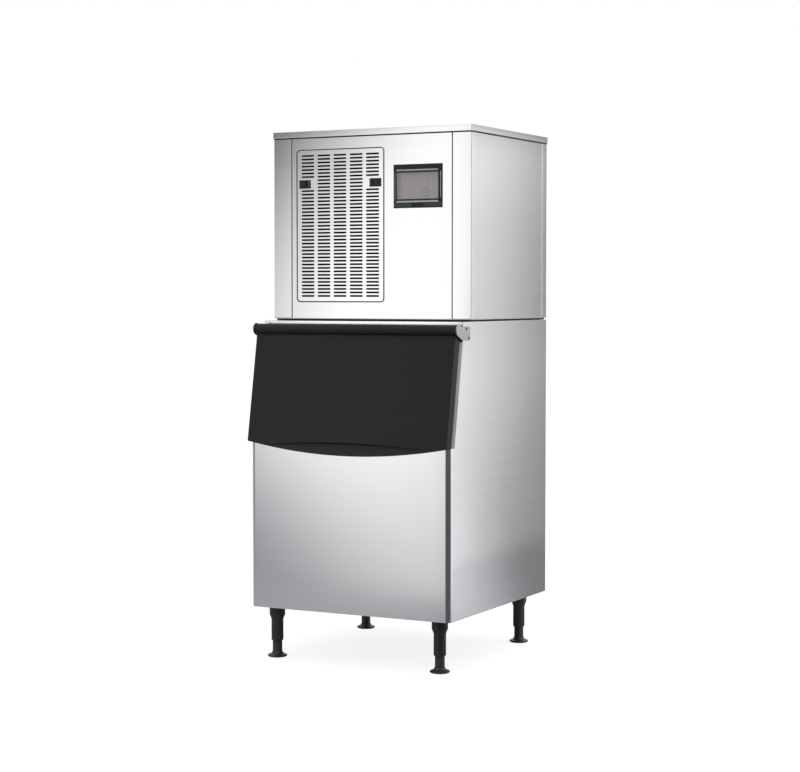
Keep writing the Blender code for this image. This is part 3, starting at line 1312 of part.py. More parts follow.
def tube(points, radius):
    """A bent tube along a route, as a closed bmesh."""
    curve = bpy.data.curves.new("route", "CURVE")
    curve.dimensions = "3D"
    curve.bevel_depth = radius
    curve.bevel_resolution = 1
    curve.use_fill_caps = True
    line = curve.splines.new("POLY")
    line.points.add(len(points) - 1)
    for point, place in zip(line.points, points):
        point.co = (*place, 1.0)
    holder = bpy.data.objects.new("route", curve)
    bpy.context.scene.collection.objects.link(holder)
    depsgraph = bpy.context.evaluated_depsgraph_get()
    mesh = bpy.data.meshes.new_from_object(holder.evaluated_get(depsgraph))
    shape = bmesh.new()
    shape.from_mesh(mesh)
    bmesh.ops.remove_doubles(shape, verts=shape.verts, dist=WELD)
    bmesh.ops.recalc_face_normals(shape, faces=shape.faces)
    bpy.data.objects.remove(holder, do_unlink=True)
    bpy.data.curves.remove(curve)
    bpy.data.meshes.remove(mesh)
    return shape


def bend(corner, before, after, radius, steps=4):
    """Points of a round bend at a corner between two straight runs."""
    a, b, c = Vector(before), Vector(corner), Vector(after)
    into, out = (b - a).normalized(), (c - b).normalized()
    centre = b - into * radius + out * radius
    points = []
    for k in range(steps + 1):
        angle = math.pi / 2 * k / steps
        along, away = radius * math.sin(angle), radius * math.cos(angle)
        points.append(tuple(centre + into * along - out * away))
    return points


def route(corners, radius):
    """A route of straight runs with round bends at its corners."""
    points = [tuple(corners[0])]
    for before, here, after in zip(corners, corners[1:], corners[2:]):
        points += bend(here, before, after, radius)
    points.append(tuple(corners[-1]))
    return points


def build_ice_maker(mats, group):
    """Grid evaporator, curtain, water circuit and the insulated wall in the right half of the head."""
    front, back = EVAPORATOR_Y0, EVAPORATOR_Y1
    low, high = EVAPORATOR_Z0, EVAPORATOR_Z1
    face = EVAPORATOR_X + EVAPORATOR_THICKNESS
    coil_x = EVAPORATOR_X - GAP - TUBE_RADIUS

    # Insulated wall, from the base to the cover, with holes for the coil's two tails.
    wall_front = Y_HEAD + PAN_RIM_INSET + SHEET + GAP
    wall_back = Y_BACK - PAN_RIM_INSET - SHEET - GAP
    half = DIVIDER_THICKNESS / 2
    wall = block(
        (DIVIDER_X - half, wall_front, Z_FLOOR + GAP),
        (DIVIDER_X + half, wall_back, Z_SHELL_TOP),
    )
    tail_y = back - 2 * RING_WIDTH
    pass_gap = (high - low - 2 * RING_WIDTH) / (TUBE_PASSES - 1)
    tube_low = low + RING_WIDTH
    tube_high = tube_low + (TUBE_PASSES - 1) * pass_gap
    holes = []
    for z in (tube_low, tube_high):
        near, far = DIVIDER_X - 2 * half, DIVIDER_X + 2 * half
        holes.append(rod(TUBE_RADIUS + GAP, (0, tail_y, z), "X", near, far, SMALL))
    finish(cut(wall, *holes), "divider_wall", mats["white_plastic"], parent=group)

    # Grid of pockets, one for each cube, open to the right.
    grid = block((EVAPORATOR_X, front, low), (face, back, high))
    cell_y = (back - front - POCKET_WALL) / POCKETS_Y
    cell_z = (high - low - POCKET_WALL) / POCKETS_Z
    pockets = []
    wide, tall = cell_y - POCKET_WALL, cell_z - POCKET_WALL
    for j in range(POCKETS_Y):
        for k in range(POCKETS_Z):
            y, z = front + POCKET_WALL + j * cell_y, low + POCKET_WALL + k * cell_z
            pockets.append(block((face - POCKET_DEPTH, y, z), (face + WALL, y + wide, z + tall)))
    finish(cut(grid, merge(*pockets)), "evaporator_grid", mats["stainless"], parent=group)

    # Copper coil: a serpentine on the grid's back, with both tails through the wall.
    turn_front, turn_back = front + RING_WIDTH, back - RING_WIDTH
    tail_x = DIVIDER_X - half - 2 * RING_WIDTH
    corners = [(tail_x, tail_y, tube_low), (coil_x, tail_y, tube_low)]
    for k in range(TUBE_PASSES):
        z = tube_low + k * pass_gap
        ends = (turn_front, turn_back) if k % 2 else (tail_y, turn_front)
        if k and not k % 2:
            ends = (turn_back, turn_front)
        if k:
            corners.append((coil_x, ends[0], z))
        if k < TUBE_PASSES - 1:
            corners.append((coil_x, ends[1], z))
    corners += [(coil_x, tail_y, tube_high), (tail_x, tail_y, tube_high)]
    coil = tube(route(corners, 3 * TUBE_RADIUS), TUBE_RADIUS)
    finish(coil, "evaporator_coil", mats["copper"], parent=group, smooth=True)

    build_curtain(mats, group)
    build_water(mats, group)


def build_curtain(mats, group):
    """Moulded ring round the grid, held to the wall, and the curtain that hangs in front of it."""
    front, back = EVAPORATOR_Y0, EVAPORATOR_Y1
    low, high = EVAPORATOR_Z0, EVAPORATOR_Z1
    ring_left = EVAPORATOR_X + EVAPORATOR_THICKNESS - RING_DEPTH
    ring_right = EVAPORATOR_X + EVAPORATOR_THICKNESS
    inner_low, inner_high = low - GAP, high + GAP
    ring_front, ring_back = front - GAP - RING_WIDTH, back + GAP + RING_WIDTH
    ring_low, ring_high = inner_low - RING_WIDTH, inner_high + RING_WIDTH
    outer = block((ring_left, ring_front, ring_low), (ring_right, ring_back, ring_high))
    inner = block(
        (ring_left - WALL, front - GAP, inner_low), (ring_right + WALL, back + GAP, inner_high)
    )
    wall_face = DIVIDER_X + DIVIDER_THICKNESS / 2 + GAP
    arms = []
    for y in (ring_front, ring_back - RING_ARM):
        for z in (inner_low + RING_WIDTH, inner_high - RING_WIDTH - RING_ARM):
            end = (ring_left + RING_ARM, y + RING_ARM, z + RING_ARM)
            arms.append(block((wall_face, y, z), end))
    # Two ears in front of the ring hold the curtain's pegs.
    axis_x = ring_right + CURTAIN_GAP
    axis_z = inner_high + RING_WIDTH / 2
    peg_way = CURTAIN_PEG + CURTAIN_PLAY
    ear_reach = axis_x + 2 * CURTAIN_PEG
    ears = []
    for y in (ring_front, ring_back - EAR_THICKNESS):
        ears.append(
            block(
                (ring_right - EAR_THICKNESS, y, axis_z - 2 * CURTAIN_PEG),
                (ear_reach, y + EAR_THICKNESS, axis_z + 2 * CURTAIN_PEG),
            )
        )
    axis = (axis_x, 0, axis_z)
    bore = rod(peg_way, axis, "Y", ring_front - WALL, ring_back + WALL, SMALL)
    frame = cut(join(cut(outer, inner), *arms, *ears), bore)
    finish(frame, "evaporator_frame", mats["white_plastic"], parent=group)

    left = ring_front + EAR_THICKNESS + 2 * GAP
    right = ring_back - EAR_THICKNESS - 2 * GAP
    half = CURTAIN_SHEET / 2
    sheet = block((axis_x - half, left, low - RING_WIDTH / 2), (axis_x + half, right, axis_z))
    barrel = rod(CURTAIN_PEG + half, axis, "Y", left, right, SMALL)
    pegs = rod(CURTAIN_PEG, axis, "Y", left - EAR_THICKNESS, right + EAR_THICKNESS, SMALL)
    hinge = (axis_x, (left + right) / 2, axis_z)
    finish(join(sheet, barrel, pegs), "water_curtain", mats["white_plastic"], hinge, group)


def build_water(mats, group):
    """Trough with its spout, pump, distributor pipe, inlet valve and cable gland."""
    foot = Z_FLOOR + GAP
    top = foot + TROUGH_HEIGHT
    ring_front = EVAPORATOR_Y0 - GAP - RING_WIDTH
    trough_front = ring_front - PUMP_PLATE_LENGTH
    trough_back = TROUGH_BACK
    x, z, radius = spout_spot()
    tub = block((TROUGH_LEFT, trough_front, foot), (TROUGH_RIGHT, trough_back, top))
    spout = rod(radius, (x, 0, z), "Y", trough_back - TROUGH_WALL, Y_BACK + FITTING_PROUD, SMALL)
    well = block(
        (TROUGH_LEFT + TROUGH_WALL, trough_front + TROUGH_WALL, foot + TROUGH_WALL),
        (TROUGH_RIGHT - TROUGH_WALL, trough_back - TROUGH_WALL, top + WALL),
    )
    bore = rod(radius - TROUGH_WALL, (x, 0, z), "Y", trough_back - WALL, Y_BACK + WALL, SMALL)
    finish(cut(join(tub, spout), well, bore), "water_trough", mats["white_plastic"], parent=group)

    # Pump: motor on a plate across the trough, with its suction tube down in the water.
    plate_z = top + GAP
    plate_back = ring_front - GAP
    pump_x = TROUGH_LEFT + PUMP_RADIUS
    pump_y = (trough_front + plate_back) / 2
    plate = block((TROUGH_LEFT, trough_front, plate_z), (TROUGH_RIGHT, plate_back, plate_z + PUMP_PLATE))
    motor_top = plate_z + PUMP_PLATE + PUMP_HEIGHT
    body = turned(
        [
            (0.0, plate_z + PUMP_PLATE / 2),
            (PUMP_RADIUS, plate_z + PUMP_PLATE / 2),
            (PUMP_RADIUS, motor_top - PUMP_PLATE),
            (PUMP_RADIUS - PUMP_PLATE, motor_top),
            (0.0, motor_top),
        ],
        (pump_x, pump_y, 0),
    )
    suction_end = foot + SUCTION_LIFT
    suction = rod(SUCTION_RADIUS, (pump_x, pump_y, 0), "Z", suction_end, plate_z + GAP, SMALL)
    finish(join(plate, body, suction), "water_pump", mats["black_plastic"], parent=group, smooth=True)

    # Distributor: a pipe up from the pump's plate and along the top of the ring.
    pipe_x = EVAPORATOR_X + EVAPORATOR_THICKNESS - DISTRIBUTOR_RADIUS
    pipe_z = EVAPORATOR_Z1 + GAP + RING_WIDTH + GAP + DISTRIBUTOR_RADIUS
    riser_y = ring_front - DISTRIBUTOR_BEND
    start = (pipe_x, riser_y, plate_z + PUMP_PLATE + GAP)
    corners = [start, (pipe_x, riser_y, pipe_z), (pipe_x, EVAPORATOR_Y1, pipe_z)]
    pipe = tube(route(corners, DISTRIBUTOR_BEND), DISTRIBUTOR_RADIUS)
    finish(pipe, "water_distributor", mats["white_plastic"], parent=group, smooth=True)

    # Water inlet valve and cable gland on the back panel.
    inside = Y_BACK - SHEET - GAP
    behind = Y_BACK + GAP
    reach = Y_BACK + FITTING_PROUD
    inlet_x, inlet_z, inlet_radius = inlet_spot()
    valve = block(
        (inlet_x - INLET_BODY, inside - 2 * INLET_BODY, inlet_z - INLET_BODY),
        (inlet_x + INLET_BODY, inside, inlet_z + INLET_BODY),
    )
    axis = (inlet_x, 0, inlet_z)
    nose = rod(inlet_radius, axis, "Y", inside - INLET_BODY, reach, SMALL)
    port = rod(INLET_BORE, axis, "Y", Y_BACK, reach + WALL, SMALL)
    valve = cut(join(valve, nose), port)
    finish(valve, "water_inlet_valve", mats["brass"], parent=group, smooth=True)

    gland_x, gland_z, gland_radius = gland_spot()
    profile = [
        (GLAND_BORE, inside - gland_radius),
        (gland_radius, inside - gland_radius),
        (gland_radius, behind),
        (GLAND_COLLAR, behind),
        (GLAND_COLLAR, behind + GLAND_BORE),
        (gland_radius, reach),
        (GLAND_BORE, reach),
    ]
    gland = turned(profile, (gland_x, 0, gland_z), "Y", SMALL)
    finish(gland, "cable_gland", mats["black_plastic"], parent=group, smooth=True)


def main():
    """Build the whole machine."""
    clear_scene()
    mats = make_materials()
    bin_group = make_empty("bin", (0.0, 0.0, 0.0))
    head_group = make_empty("head", (0.0, 0.0, Z_HEAD))
    build_bin(mats, bin_group)
    build_door(mats)
    build_hinge_brackets(mats, bin_group)
    build_legs(mats, bin_group)
    build_head_shell(mats, head_group)
    build_front_panel(mats, head_group)
    build_grille(mats, head_group)
    build_controls(mats, head_group)
    build_cooling(mats, head_group)
    build_ice_maker(mats, head_group)
    bpy.context.view_layer.update()


main()
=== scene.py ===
# %% [markdown]
# # A cube ice machine on its storage bin
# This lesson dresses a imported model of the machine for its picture. The model already has the
# real sizes. Here every piece gets the finish of its real material, and the pieces that are too
# plain for a close look are made again with soft folds, finer rims and small fasteners.

import json
import math

import bmesh
import bpy
import numpy as np
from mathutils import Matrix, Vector


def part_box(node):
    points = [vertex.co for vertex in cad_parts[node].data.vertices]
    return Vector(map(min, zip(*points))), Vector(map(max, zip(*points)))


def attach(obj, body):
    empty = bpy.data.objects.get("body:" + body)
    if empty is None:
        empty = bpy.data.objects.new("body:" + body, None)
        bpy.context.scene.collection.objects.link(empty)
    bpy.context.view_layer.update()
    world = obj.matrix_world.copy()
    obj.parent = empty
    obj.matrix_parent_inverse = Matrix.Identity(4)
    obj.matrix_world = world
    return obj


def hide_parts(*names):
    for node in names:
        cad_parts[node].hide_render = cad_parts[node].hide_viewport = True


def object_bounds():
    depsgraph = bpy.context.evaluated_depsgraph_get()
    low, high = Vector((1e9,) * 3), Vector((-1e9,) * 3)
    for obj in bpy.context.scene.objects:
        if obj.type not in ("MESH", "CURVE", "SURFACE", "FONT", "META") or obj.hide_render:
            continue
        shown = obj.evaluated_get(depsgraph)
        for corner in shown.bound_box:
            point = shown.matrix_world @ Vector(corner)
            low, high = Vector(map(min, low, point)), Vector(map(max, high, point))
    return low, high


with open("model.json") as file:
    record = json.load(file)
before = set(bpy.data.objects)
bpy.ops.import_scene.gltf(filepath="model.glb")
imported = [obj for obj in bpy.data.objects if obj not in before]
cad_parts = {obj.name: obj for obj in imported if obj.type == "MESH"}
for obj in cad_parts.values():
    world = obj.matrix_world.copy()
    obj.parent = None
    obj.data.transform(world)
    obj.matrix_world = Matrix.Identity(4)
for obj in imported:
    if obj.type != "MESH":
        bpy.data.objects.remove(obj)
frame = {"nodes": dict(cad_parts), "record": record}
NODES = frame["nodes"]
cad_low, cad_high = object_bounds()
print("machine measures", [round(v, 4) for v in cad_high - cad_low])

# %% [markdown]
# ## The camera
# The machine is seen from its right front, a little above half its height, through a long lens,
# so its uprights stay upright. A camera's angles could be found by eye; these come from a fit of
# the machine's own corners, and the picture is taken to be 800 by 772 pixels.

# %% Camera
def new_object(name, data):
    """An object in the scene for a mesh, a light or a camera."""
    made = bpy.data.objects.new(name, data)
    bpy.context.scene.collection.objects.link(made)
    return made


CAMERA_PLACE = (2.7119, -5.1935, 1.0878)
CAMERA_PITCH = 87.25  # degrees up from looking straight down
CAMERA_YAW = 27.62  # degrees to the left of the machine's front
CAMERA_LENS = 86.6  # mm, on a sensor 36 mm wide

camera_data = bpy.data.cameras.new("camera")
camera_data.lens = CAMERA_LENS
camera_data.sensor_width = 36.0
camera = new_object("camera", camera_data)
camera.location = CAMERA_PLACE
camera.rotation_euler = (math.radians(CAMERA_PITCH), 0.0, math.radians(CAMERA_YAW))
bpy.context.scene.camera = camera
bpy.context.scene.view_settings.view_transform = "Standard"

# %% [markdown]
# ## Helpers for node trees
# A finish is a small tree of nodes. Written out one by one they fill pages, so one helper makes a
# node, sets what is a number and links what comes from another node. Every finish starts from
# Object coordinates: they are metres on the machine, so grain keeps its real size everywhere.

# %% Node helpers
SPREAD = (0.3, 0.7)  # nearly all values of a noise lie between these


def add(tree, kind, inputs=None, **settings):
    """Adds one node; inputs maps a socket's name or index to a number, a colour or a socket."""
    node = tree.nodes.new(kind)
    for name, value in settings.items():
        setattr(node, name, value)
    for name, value in (inputs or {}).items():
        if isinstance(value, bpy.types.NodeSocket):
            tree.links.new(value, node.inputs[name])
        else:
            node.inputs[name].default_value = value
    return node


def new_finish(name):
    """An empty finish: its material, its tree, its shader and its object coordinates."""
    material = bpy.data.materials.new(name)
    material.use_nodes = True
    tree = material.node_tree
    shader = tree.nodes["Principled BSDF"]
    where = add(tree, "ShaderNodeTexCoord").outputs["Object"]
    return material, tree, shader, where


def set_shader(shader, **values):
    """Sets the shader's own sockets; an underscore stands for a blank in a socket's name."""
    for name, value in values.items():
        shader.inputs[name.replace("_", " ")].default_value = value


def paint(tree, shader, colour, roughness):
    """Links what gives the shader its colour and its roughness."""
    tree.links.new(colour, shader.inputs["Base Color"])
    tree.links.new(roughness, shader.inputs["Roughness"])


def noise(tree, where, scale, detail=2.0, stretch=(1.0, 1.0, 1.0), roughness=0.5):
    """Noise of 0 to 1 with scale cells a metre, drawn out along the axes with a small stretch."""
    mapped = add(tree, "ShaderNodeMapping", {"Vector": where, "Scale": stretch}).outputs[0]
    inputs = {"Vector": mapped, "Scale": scale, "Detail": detail, "Roughness": roughness}
    return add(tree, "ShaderNodeTexNoise", inputs).outputs["Fac"]


def ramp(tree, value, low, high, out_low=0.0, out_high=1.0):
    """value from low to high becomes out_low to out_high, and stays inside them."""
    inputs = {0: value, 1: low, 2: high, 3: out_low, 4: out_high}
    return add(tree, "ShaderNodeMapRange", inputs, clamp=True).outputs[0]


def math_node(tree, operation, first, second=0.0):
    """One sum, product or other operation on two values."""
    return add(tree, "ShaderNodeMath", {0: first, 1: second}, operation=operation).outputs[0]


def times(tree, first, second):
    """The product of two values."""
    return math_node(tree, "MULTIPLY", first, second)


def coordinates(tree, vector):
    """The x, y and z of a vector."""
    return add(tree, "ShaderNodeSeparateXYZ", {0: vector}).outputs


def vector_math(tree, operation, *inputs):
    """One operation on vectors, which gives a value or a vector."""
    node = add(tree, "ShaderNodeVectorMath", dict(enumerate(inputs)), operation=operation)
    return node.outputs["Value" if operation in ("DOT_PRODUCT", "LENGTH") else "Vector"]


def blend_colours(tree, factor, first, second):
    """first where factor is 0, second where it is 1; a Mix node's sockets 6 and 7 are colours."""
    first, second = ((*c, 1.0) if isinstance(c, tuple) else c for c in (first, second))
    inputs = {0: factor, 6: first, 7: second}
    return add(tree, "ShaderNodeMix", inputs, data_type="RGBA").outputs[2]


def bump(tree, shader, height, distance):
    """Lets height, 0 to 1, raise the surface by distance metres."""
    node = add(tree, "ShaderNodeBump", {"Height": height, "Distance": distance})
    tree.links.new(node.outputs[0], shader.inputs["Normal"])


# %% [markdown]
# ## Brushed stainless steel
# The sheets are brushed: millions of fine scratches that all run one way. An image could be
# stretched over each sheet, but noise drawn out nearly three hundred times along the brushing
# costs nothing and never repeats. The scratches change the roughness most, the colour a little
# and the height least.

# %% Brushed steel
def brushed_steel(name, grain, colour, roughness):
    """Steel whose scratches run along the axes where grain, in cells a metre, is small."""
    material, tree, shader, where = new_finish(name)
    fine = noise(tree, where, 1.0, 2.0, grain, 0.6)
    coarse = noise(tree, where, 1.0, 2.0, tuple(g * 0.3 for g in grain))
    cloud = noise(tree, where, 3.5, 2.0)
    scratch = math_node(tree, "ADD", times(tree, fine, 0.7), times(tree, coarse, 0.3))
    darker = tuple(c * 0.96 for c in colour)
    lighter = tuple(min(1.0, c * 1.03) for c in colour)
    tone = blend_colours(tree, ramp(tree, scratch, *SPREAD), darker, lighter)
    rough = ramp(tree, scratch, *SPREAD, roughness - 0.02, roughness + 0.03)
    rough = math_node(tree, "ADD", rough, ramp(tree, cloud, 0.35, 0.65, -0.01, 0.01))
    paint(tree, shader, tone, rough)
    set_shader(shader, Metallic=1.0)
    bump(tree, shader, scratch, 0.000006)
    return material


STEEL = (0.66, 0.655, 0.652)
steel = brushed_steel("steel", (5.0, 5.0, 1400.0), STEEL, 0.15)
steel_fitting = brushed_steel("steel_fitting", (260.0, 260.0, 260.0), (0.34, 0.34, 0.335), 0.4)
steel_inside = brushed_steel("steel_inside", (30.0, 30.0, 900.0), STEEL, 0.3)
print("steel finishes made")

# %% [markdown]
# ## Galvanised sheet
# The back, the bottom and the shroud are plain zinc-coated sheet. Zinc freezes in flat crystals a
# few millimetres wide, each with its own grey, which Voronoi cells give directly.

# %% Galvanised sheet
def galvanised_sheet(name):
    """Zinc: cells of 6 mm, each with its own tone and gloss."""
    material, tree, shader, where = new_finish(name)
    cells = add(tree, "ShaderNodeTexVoronoi", {"Vector": where, "Scale": 160.0})
    tone = add(tree, "ShaderNodeSeparateColor", {0: cells.outputs["Color"]}).outputs[0]
    colour = blend_colours(tree, tone, (0.47, 0.48, 0.49), (0.58, 0.59, 0.60))
    paint(tree, shader, colour, ramp(tree, tone, 0.0, 1.0, 0.34, 0.5))
    set_shader(shader, Metallic=1.0)
    return material


galvanised = galvanised_sheet("galvanised")

# %% [markdown]
# ## Moulded plastics and rubber
# A moulded part shows the skin of its mould: a fine grain a few tenths of a millimetre across,
# with slow waves in the gloss where the plastic cooled unevenly. One function makes them all, from
# the black door to the white liner, with its own colour, gloss and grain.

# %% Moulded parts
def moulded(name, colour, roughness, grain=2600.0, depth=0.00003, spread=0.06, streak=None,
            shine=0.5):
    """A plastic with a grained skin; streak draws the slow waves out along an axis."""
    material, tree, shader, where = new_finish(name)
    skin = noise(tree, where, grain, 2.0)
    wave = noise(tree, where, 9.0, 3.0, streak or (1.0, 1.0, 1.0))
    dark = tuple(c * (1.0 - spread) for c in colour)
    light = tuple(min(1.0, c * (1.0 + spread)) for c in colour)
    tone = blend_colours(tree, ramp(tree, wave, *SPREAD), dark, light)
    rough = math_node(tree, "ADD", ramp(tree, skin, *SPREAD, -0.04, 0.04),
                      ramp(tree, wave, *SPREAD, roughness - 0.05, roughness + 0.05))
    paint(tree, shader, tone, rough)
    set_shader(shader, Specular_IOR_Level=shine)
    bump(tree, shader, skin, depth)
    return material


door_black = moulded("door_black", (0.012, 0.012, 0.013), 0.5, 1800.0, 0.00006, 0.10,
                     (0.3, 4.0, 9.0), 0.2)
part_black = moulded("part_black", (0.014, 0.014, 0.015), 0.42, shine=0.3)
leg_black = moulded("leg_black", (0.022, 0.022, 0.025), 0.38, 900.0, 0.00004, shine=0.4)
white_plastic = moulded("white_plastic", (0.78, 0.79, 0.78), 0.36, 1200.0, 0.00002, 0.02)
frame_grey = moulded("frame_grey", (0.27, 0.27, 0.275), 0.45)
latch_grey = moulded("latch_grey", (0.06, 0.06, 0.065), 0.5, shine=0.3)
# A pale strip in this grey paints the glint on the bezel's inner right edge.
glint_grey = moulded("glint_grey", (0.46, 0.455, 0.455), 0.5, shine=0.3)
filter_black = moulded("filter_black", (0.004, 0.004, 0.004), 0.9, 900.0, 0.0004, shine=0.1)
# Black rubber for the rubber parts, and for the strips that paint shade in the head's gaps.
rubber_and_shade_black = moulded("rubber_and_shade_black", (0.012, 0.012, 0.013), 0.7, 1400.0, 0.00008)
foam_yellow = moulded("foam_yellow", (0.72, 0.58, 0.30), 0.85, 400.0, 0.0006, 0.12)

# %% [markdown]
# ## Metals inside the head
# Copper tube is drawn smooth and dulls in patches, aluminium fins are bright, brass is turned, and
# the compressor is painted black. All four are one recipe with different numbers.

# %% Plain metals
def plain_metal(name, colour, tarnish, roughness, metallic=1.0):
    """A metal or a paint that goes towards tarnish in patches a few centimetres wide."""
    material, tree, shader, where = new_finish(name)
    patch = ramp(tree, noise(tree, where, 28.0, 4.0), 0.42, 0.68, 0.0, 1.0)
    paint(tree, shader, blend_colours(tree, patch, colour, tarnish),
          ramp(tree, patch, 0.0, 1.0, roughness, roughness + 0.16))
    set_shader(shader, Metallic=metallic)
    bump(tree, shader, noise(tree, where, 700.0), 0.00003)
    return material


copper = plain_metal("copper", (0.74, 0.36, 0.22), (0.45, 0.22, 0.15), 0.26)
aluminium = plain_metal("aluminium", (0.76, 0.77, 0.78), (0.62, 0.63, 0.64), 0.3)
brass = plain_metal("brass", (0.76, 0.58, 0.27), (0.55, 0.41, 0.2), 0.3)
black_steel = plain_metal("black_steel", (0.012, 0.012, 0.013), (0.02, 0.02, 0.022), 0.34, 0.0)

# %% [markdown]
# ## The control window
# A hazy clear flap covers a taupe film with a button, inside a black bezel. A glass shader would
# bend light that a 2 mm sheet hardly bends, and would throw a hard shadow, so the flap is partly
# see-through instead. The pale strips along the flap's top and bottom edges are painted
# highlights, and the bezel's ledge and jamb are painted lighter where they catch the light. These
# and the marks on the film are bands of object coordinates, so that they have real sizes.

# %% Control window
FLAP_LOW, FLAP_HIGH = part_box("control_flap")
HIGHLIGHT_TALL = 0.0045  # m, the painted highlights along the flap's top and bottom edges
HIGHLIGHT_TONE = (0.54, 0.53, 0.52)
LINE_TALL = 0.0050  # m, the black line inside each
LINE_TONE = (0.008, 0.008, 0.008)
CLEAR_X = (0.0868, 0.2240)  # m, where the flap is clear from left to right
CLEAR_TONE = (0.64, 0.57, 0.555)
CLEAR_ALPHA = 0.30
BEZEL_LOW, BEZEL_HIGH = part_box("control_bezel")
BEZEL_TONE = (0.010, 0.0095, 0.011)
# The ledge below the window and the jamb left of it are painted lighter, as lit.
LEDGE_LIT_TONE, LEDGE_INSETS = (0.048, 0.048, 0.05), (0.0035, 0.0008)  # m, at the bottom and top
JAMB_LIT_TONE, JAMB_INSETS = (0.11, 0.10, 0.11), (0.0012, 0.006, 0.009)  # m, left, bottom and top
NOTCH_X = (0.13975, 0.17575)  # m, the finger recess below the flap
BUTTON_LOW, BUTTON_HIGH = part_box("power_button")
FILM_TONES = ((0.52, 0.47, 0.46), (0.62, 0.57, 0.55))
BAND_X = (0.080, 0.0985)  # m, the film's darker left band
BAND_TONE = (0.40, 0.38, 0.385)
MARKS_X, MARKS_Z = (0.1820, 0.1860), (1.397, 1.438)  # m, the column of small marks
MARK_STEP = 0.0115  # m, from mark to mark
MARK_PRINTED = (0.30, 0.62)  # the part of each step that is printed
RING_RADII = (0.0098, 0.0122)  # m
DOT_RADIUS = 0.0030
MARK_TONE, RING_TONE, DOT_TONE = (0.08, 0.08, 0.08), (0.08, 0.06, 0.07), (0.08, 0.05, 0.07)


def inside(tree, value, low, high, edge=0.0003):
    """1 where value is from low to high and 0 outside, with an edge of that width."""
    rise = ramp(tree, value, low - edge, low)
    return times(tree, rise, ramp(tree, value, high, high + edge, 1.0, 0.0))


def smoked_plastic(name):
    """Hazy see-through plastic in a black border, with painted highlights at top and bottom."""
    material, tree, shader, where = new_finish(name)
    along, _, height = coordinates(tree, where)
    border = HIGHLIGHT_TALL + LINE_TALL
    side = inside(tree, along, *CLEAR_X)
    clear = times(tree, side, inside(tree, height, FLAP_LOW.z + border, FLAP_HIGH.z - border))
    # Painted highlight: pale strips along the top and bottom edges, with a black line inside each.
    dark = inside(tree, height, FLAP_LOW.z + HIGHLIGHT_TALL, FLAP_HIGH.z - HIGHLIGHT_TALL)
    frame_tone = blend_colours(tree, dark, HIGHLIGHT_TONE, LINE_TONE)
    frame_tone = blend_colours(tree, side, LINE_TONE, frame_tone)
    haze = noise(tree, where, 60.0)
    paint(tree, shader, blend_colours(tree, clear, frame_tone, CLEAR_TONE),
          ramp(tree, haze, *SPREAD, 0.16, 0.24))
    tree.links.new(ramp(tree, clear, 0.0, 1.0, 1.0, CLEAR_ALPHA), shader.inputs["Alpha"])
    set_shader(shader, IOR=1.45, Specular_IOR_Level=0.25)
    return material


def bezel_plastic(name):
    """Black; the ledge below the window and the jamb left of it are painted lighter, as lit."""
    material, tree, shader, where = new_finish(name)
    along, _, height = coordinates(tree, where)
    # Painted light: the ledge, less the finger notch, and the jamb are lighter, as lit.
    ledge = inside(tree, height, BEZEL_LOW.z + LEDGE_INSETS[0], FLAP_LOW.z - LEDGE_INSETS[1])
    notch = inside(tree, along, *NOTCH_X)
    ledge = times(tree, ledge, math_node(tree, "SUBTRACT", 1.0, notch))
    from_left, from_bottom, from_top = JAMB_INSETS
    jamb = times(tree, inside(tree, along, BEZEL_LOW.x + from_left, FLAP_LOW.x),
                 inside(tree, height, FLAP_LOW.z + from_bottom, FLAP_HIGH.z - from_top))
    tone = blend_colours(tree, ledge, BEZEL_TONE, LEDGE_LIT_TONE)
    skin = noise(tree, where, 2200.0)
    paint(tree, shader, blend_colours(tree, jamb, tone, JAMB_LIT_TONE),
          ramp(tree, skin, *SPREAD, 0.36, 0.46))
    set_shader(shader, Specular_IOR_Level=0.25)
    bump(tree, shader, skin, 0.00003)
    return material


def membrane(name):
    """A taupe film: a darker left band, four small marks and a ring round the button."""
    material, tree, shader, where = new_finish(name)
    along, _, height = coordinates(tree, where)
    grain = noise(tree, where, 1500.0)
    patch = noise(tree, where, 90.0, 3.0)
    film = blend_colours(tree, ramp(tree, patch, 0.35, 0.65), *FILM_TONES)
    film = blend_colours(tree, inside(tree, along, *BAND_X), film, BAND_TONE)
    ladder = math_node(tree, "FRACT", math_node(tree, "DIVIDE", height, MARK_STEP))
    marks = times(tree, inside(tree, along, *MARKS_X), inside(tree, height, *MARKS_Z))
    marks = times(tree, marks, inside(tree, ladder, *MARK_PRINTED, 0.02))
    film = blend_colours(tree, marks, film, MARK_TONE)
    button = ((BUTTON_LOW.x + BUTTON_HIGH.x) / 2.0, 0.0, (BUTTON_LOW.z + BUTTON_HIGH.z) / 2.0)
    flat = vector_math(tree, "MULTIPLY", vector_math(tree, "SUBTRACT", where, button),
                       (1.0, 0.0, 1.0))
    reach = vector_math(tree, "LENGTH", flat)
    ring = inside(tree, reach, *RING_RADII)
    film = blend_colours(tree, ring, film, RING_TONE)
    dot = inside(tree, reach, -1.0, DOT_RADIUS)
    film = blend_colours(tree, dot, film, DOT_TONE)
    paint(tree, shader, film, ramp(tree, grain, *SPREAD, 0.4, 0.5))
    bump(tree, shader, grain, 0.00002)
    return material


smoked = smoked_plastic("smoked")
bezel_black = bezel_plastic("bezel_black")
keypad_grey = membrane("keypad_grey")

# %% [markdown]
# ## Which piece gets which finish
# The record says what each piece is made of. A few pieces differ from the rest of their slot:
# the brackets are duller steel than the sheets, and the door and legs are moulded coarser.

